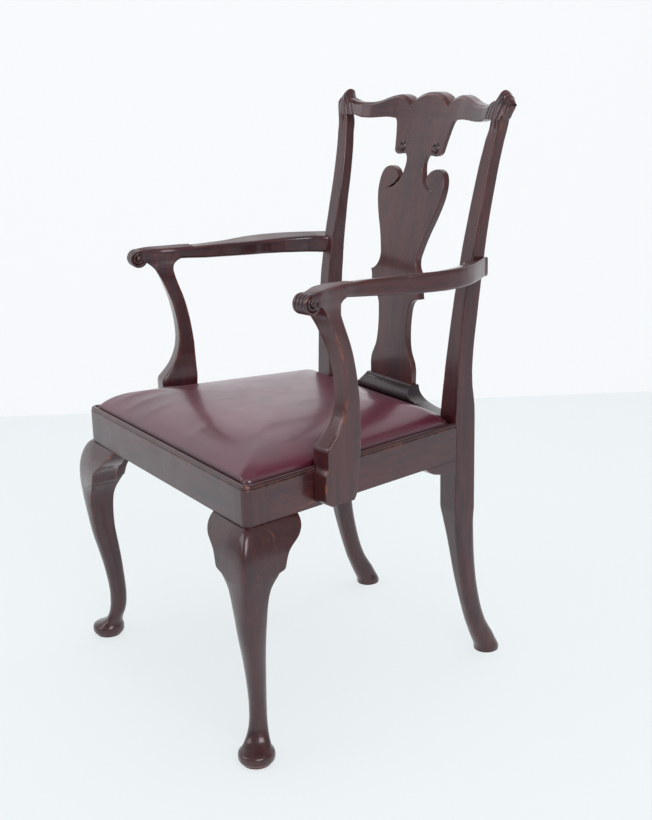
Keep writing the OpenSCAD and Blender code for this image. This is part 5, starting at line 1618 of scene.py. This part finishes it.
def softbox(name, place, size, power, mirrored=True):
    """A square area light that faces the chair. One that is not mirrored is left out of the
    polish's reflections, like a bounced light."""
    lamp = bpy.data.lights.new(name, "AREA")
    lamp.shape = "SQUARE"
    lamp.size = size
    lamp.energy = power
    light = in_scene(name, lamp)
    light.location = place
    light.rotation_euler = turned_to(place, LIT_POINT).to_euler()
    light.visible_glossy = mirrored


def room_light(strength):
    """The world: even light on the chair, and a plain pale colour for the camera."""
    world = bpy.data.worlds.new("studio")
    world.use_nodes = True
    tree = world.node_tree
    tree.nodes.clear()
    even = add(tree, "ShaderNodeBackground",
               inputs={"Color": linear("#F4F7FA"), "Strength": strength})
    seen = add(tree, "ShaderNodeBackground", inputs={"Color": linear("#F7F9FB"), "Strength": 1.0})
    path = add(tree, "ShaderNodeLightPath")
    either = maths(tree, "MAXIMUM", path.outputs["Is Camera Ray"],
                   path.outputs["Is Transmission Ray"])
    both = mix_shaders(tree, either, even, seen)
    add(tree, "ShaderNodeOutputWorld", inputs={"Surface": both.outputs[0]})
    return world


# The stage in metres: the point that is lit, how far the wall's foot is from the camera, how
# far the wall is turned, half its width, its height, and the floor before and behind it
LIT_POINT = (0, 0, 0.45)
WALL_AWAY = 3.70
WALL_TURN = 0.056
WALL_HALF = 6
WALL_HEIGHT = 4
FLOOR_BEFORE = 8
FLOOR_BEHIND = 6


class Stage(bpy.types.Operator):
    """The pale floor and wall, the soft lights and the camera"""
    bl_idname = "armchair.stage"
    bl_label = "Stage"

    def execute(self, context):
        stage = context.scene.armchair_stage
        place, aim = Vector(stage.camera_place), Vector(stage.camera_aim)
        away = (aim - place).to_2d().normalized()
        foot = place.to_2d() + WALL_AWAY * away
        run = (Vector((away.y, -away.x)) + WALL_TURN * away).normalized()
        left, right = foot - WALL_HALF * run, foot + WALL_HALF * run
        before, behind = FLOOR_BEFORE * away, FLOOR_BEHIND * away
        pane("floor", [(*(left - before), 0), (*(right - before), 0), (*(right + behind), 0),
                       (*(left + behind), 0)], plain_surface("matt_floor_paint", stage.floor, 0.8))
        pane("wall", [(*left, 0), (*right, 0), (*right, WALL_HEIGHT), (*left, WALL_HEIGHT)],
             plain_surface("matt_wall_paint", stage.wall, 0.9, one_sided=True))
        softbox("window_right", (2.7, -0.7, 2.1), 1.7, stage.key)
        softbox("window_left", (-0.9, -2.7, 2.0), 1.7, stage.side)
        softbox("overhead", (0.1, 0.2, 2.9), 2.4, stage.fill, mirrored=False)
        softbox("rear_fill", (-1.2, 2.0, 2.2), 1.6, stage.rim, mirrored=False)
        context.scene.world = room_light(stage.sky)
        context.scene.view_settings.view_transform = "Standard"
        lens = bpy.data.cameras.new("camera")
        lens.sensor_fit = "VERTICAL"
        lens.sensor_height = 36
        lens.lens = stage.lens
        camera = in_scene("camera", lens)
        camera.location = place
        turn = turned_to(place, aim).to_matrix() @ Matrix.Rotation(stage.camera_roll, 3, "Z")
        camera.rotation_euler = turn.to_euler()
        context.scene.camera = camera
        return {"FINISHED"}


class ArmchairPanel(bpy.types.Panel):
    bl_idname = "VIEW3D_PT_armchair"
    bl_label = "Armchair"
    bl_space_type = "VIEW_3D"
    bl_region_type = "UI"
    bl_category = "Armchair"

    def draw(self, context):
        for title, group in (("Timber", "armchair_timber"), ("Carving", "armchair_carving"),
                             ("Seat", "armchair_seat"), ("Stage", "armchair_stage")):
            box = self.layout.box()
            box.label(text=title)
            settings = getattr(context.scene, group)
            for key in settings.__annotations__:
                box.prop(settings, key)
        for piece in OPERATORS:
            self.layout.operator(piece.bl_idname)


GROUPS = (("armchair_timber", ArmchairTimber), ("armchair_carving", ArmchairCarving),
          ("armchair_seat", ArmchairSeat), ("armchair_stage", ArmchairStage))
OPERATORS = (HiddenParts, FrontLegs, RearPosts, CrestRail, SplatAndShoe, Arms, ArmSupports, Rails,
             Brackets, LeatherSeat, Stage)


def register():
    for name, group in GROUPS:
        bpy.utils.register_class(group)
        setattr(bpy.types.Scene, name, PointerProperty(type=group))
    for piece in OPERATORS + (ArmchairPanel,):
        bpy.utils.register_class(piece)


def unregister():
    for piece in (ArmchairPanel,) + OPERATORS[::-1]:
        bpy.utils.unregister_class(piece)
    for name, group in GROUPS[::-1]:
        delattr(bpy.types.Scene, name)
        bpy.utils.unregister_class(group)


def main():
    """Registers the add-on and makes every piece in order."""
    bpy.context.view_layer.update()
    register()
    for piece in OPERATORS:
        getattr(bpy.ops.armchair, piece.bl_idname.split(".")[1])()


if __name__ == "__main__":
    main()
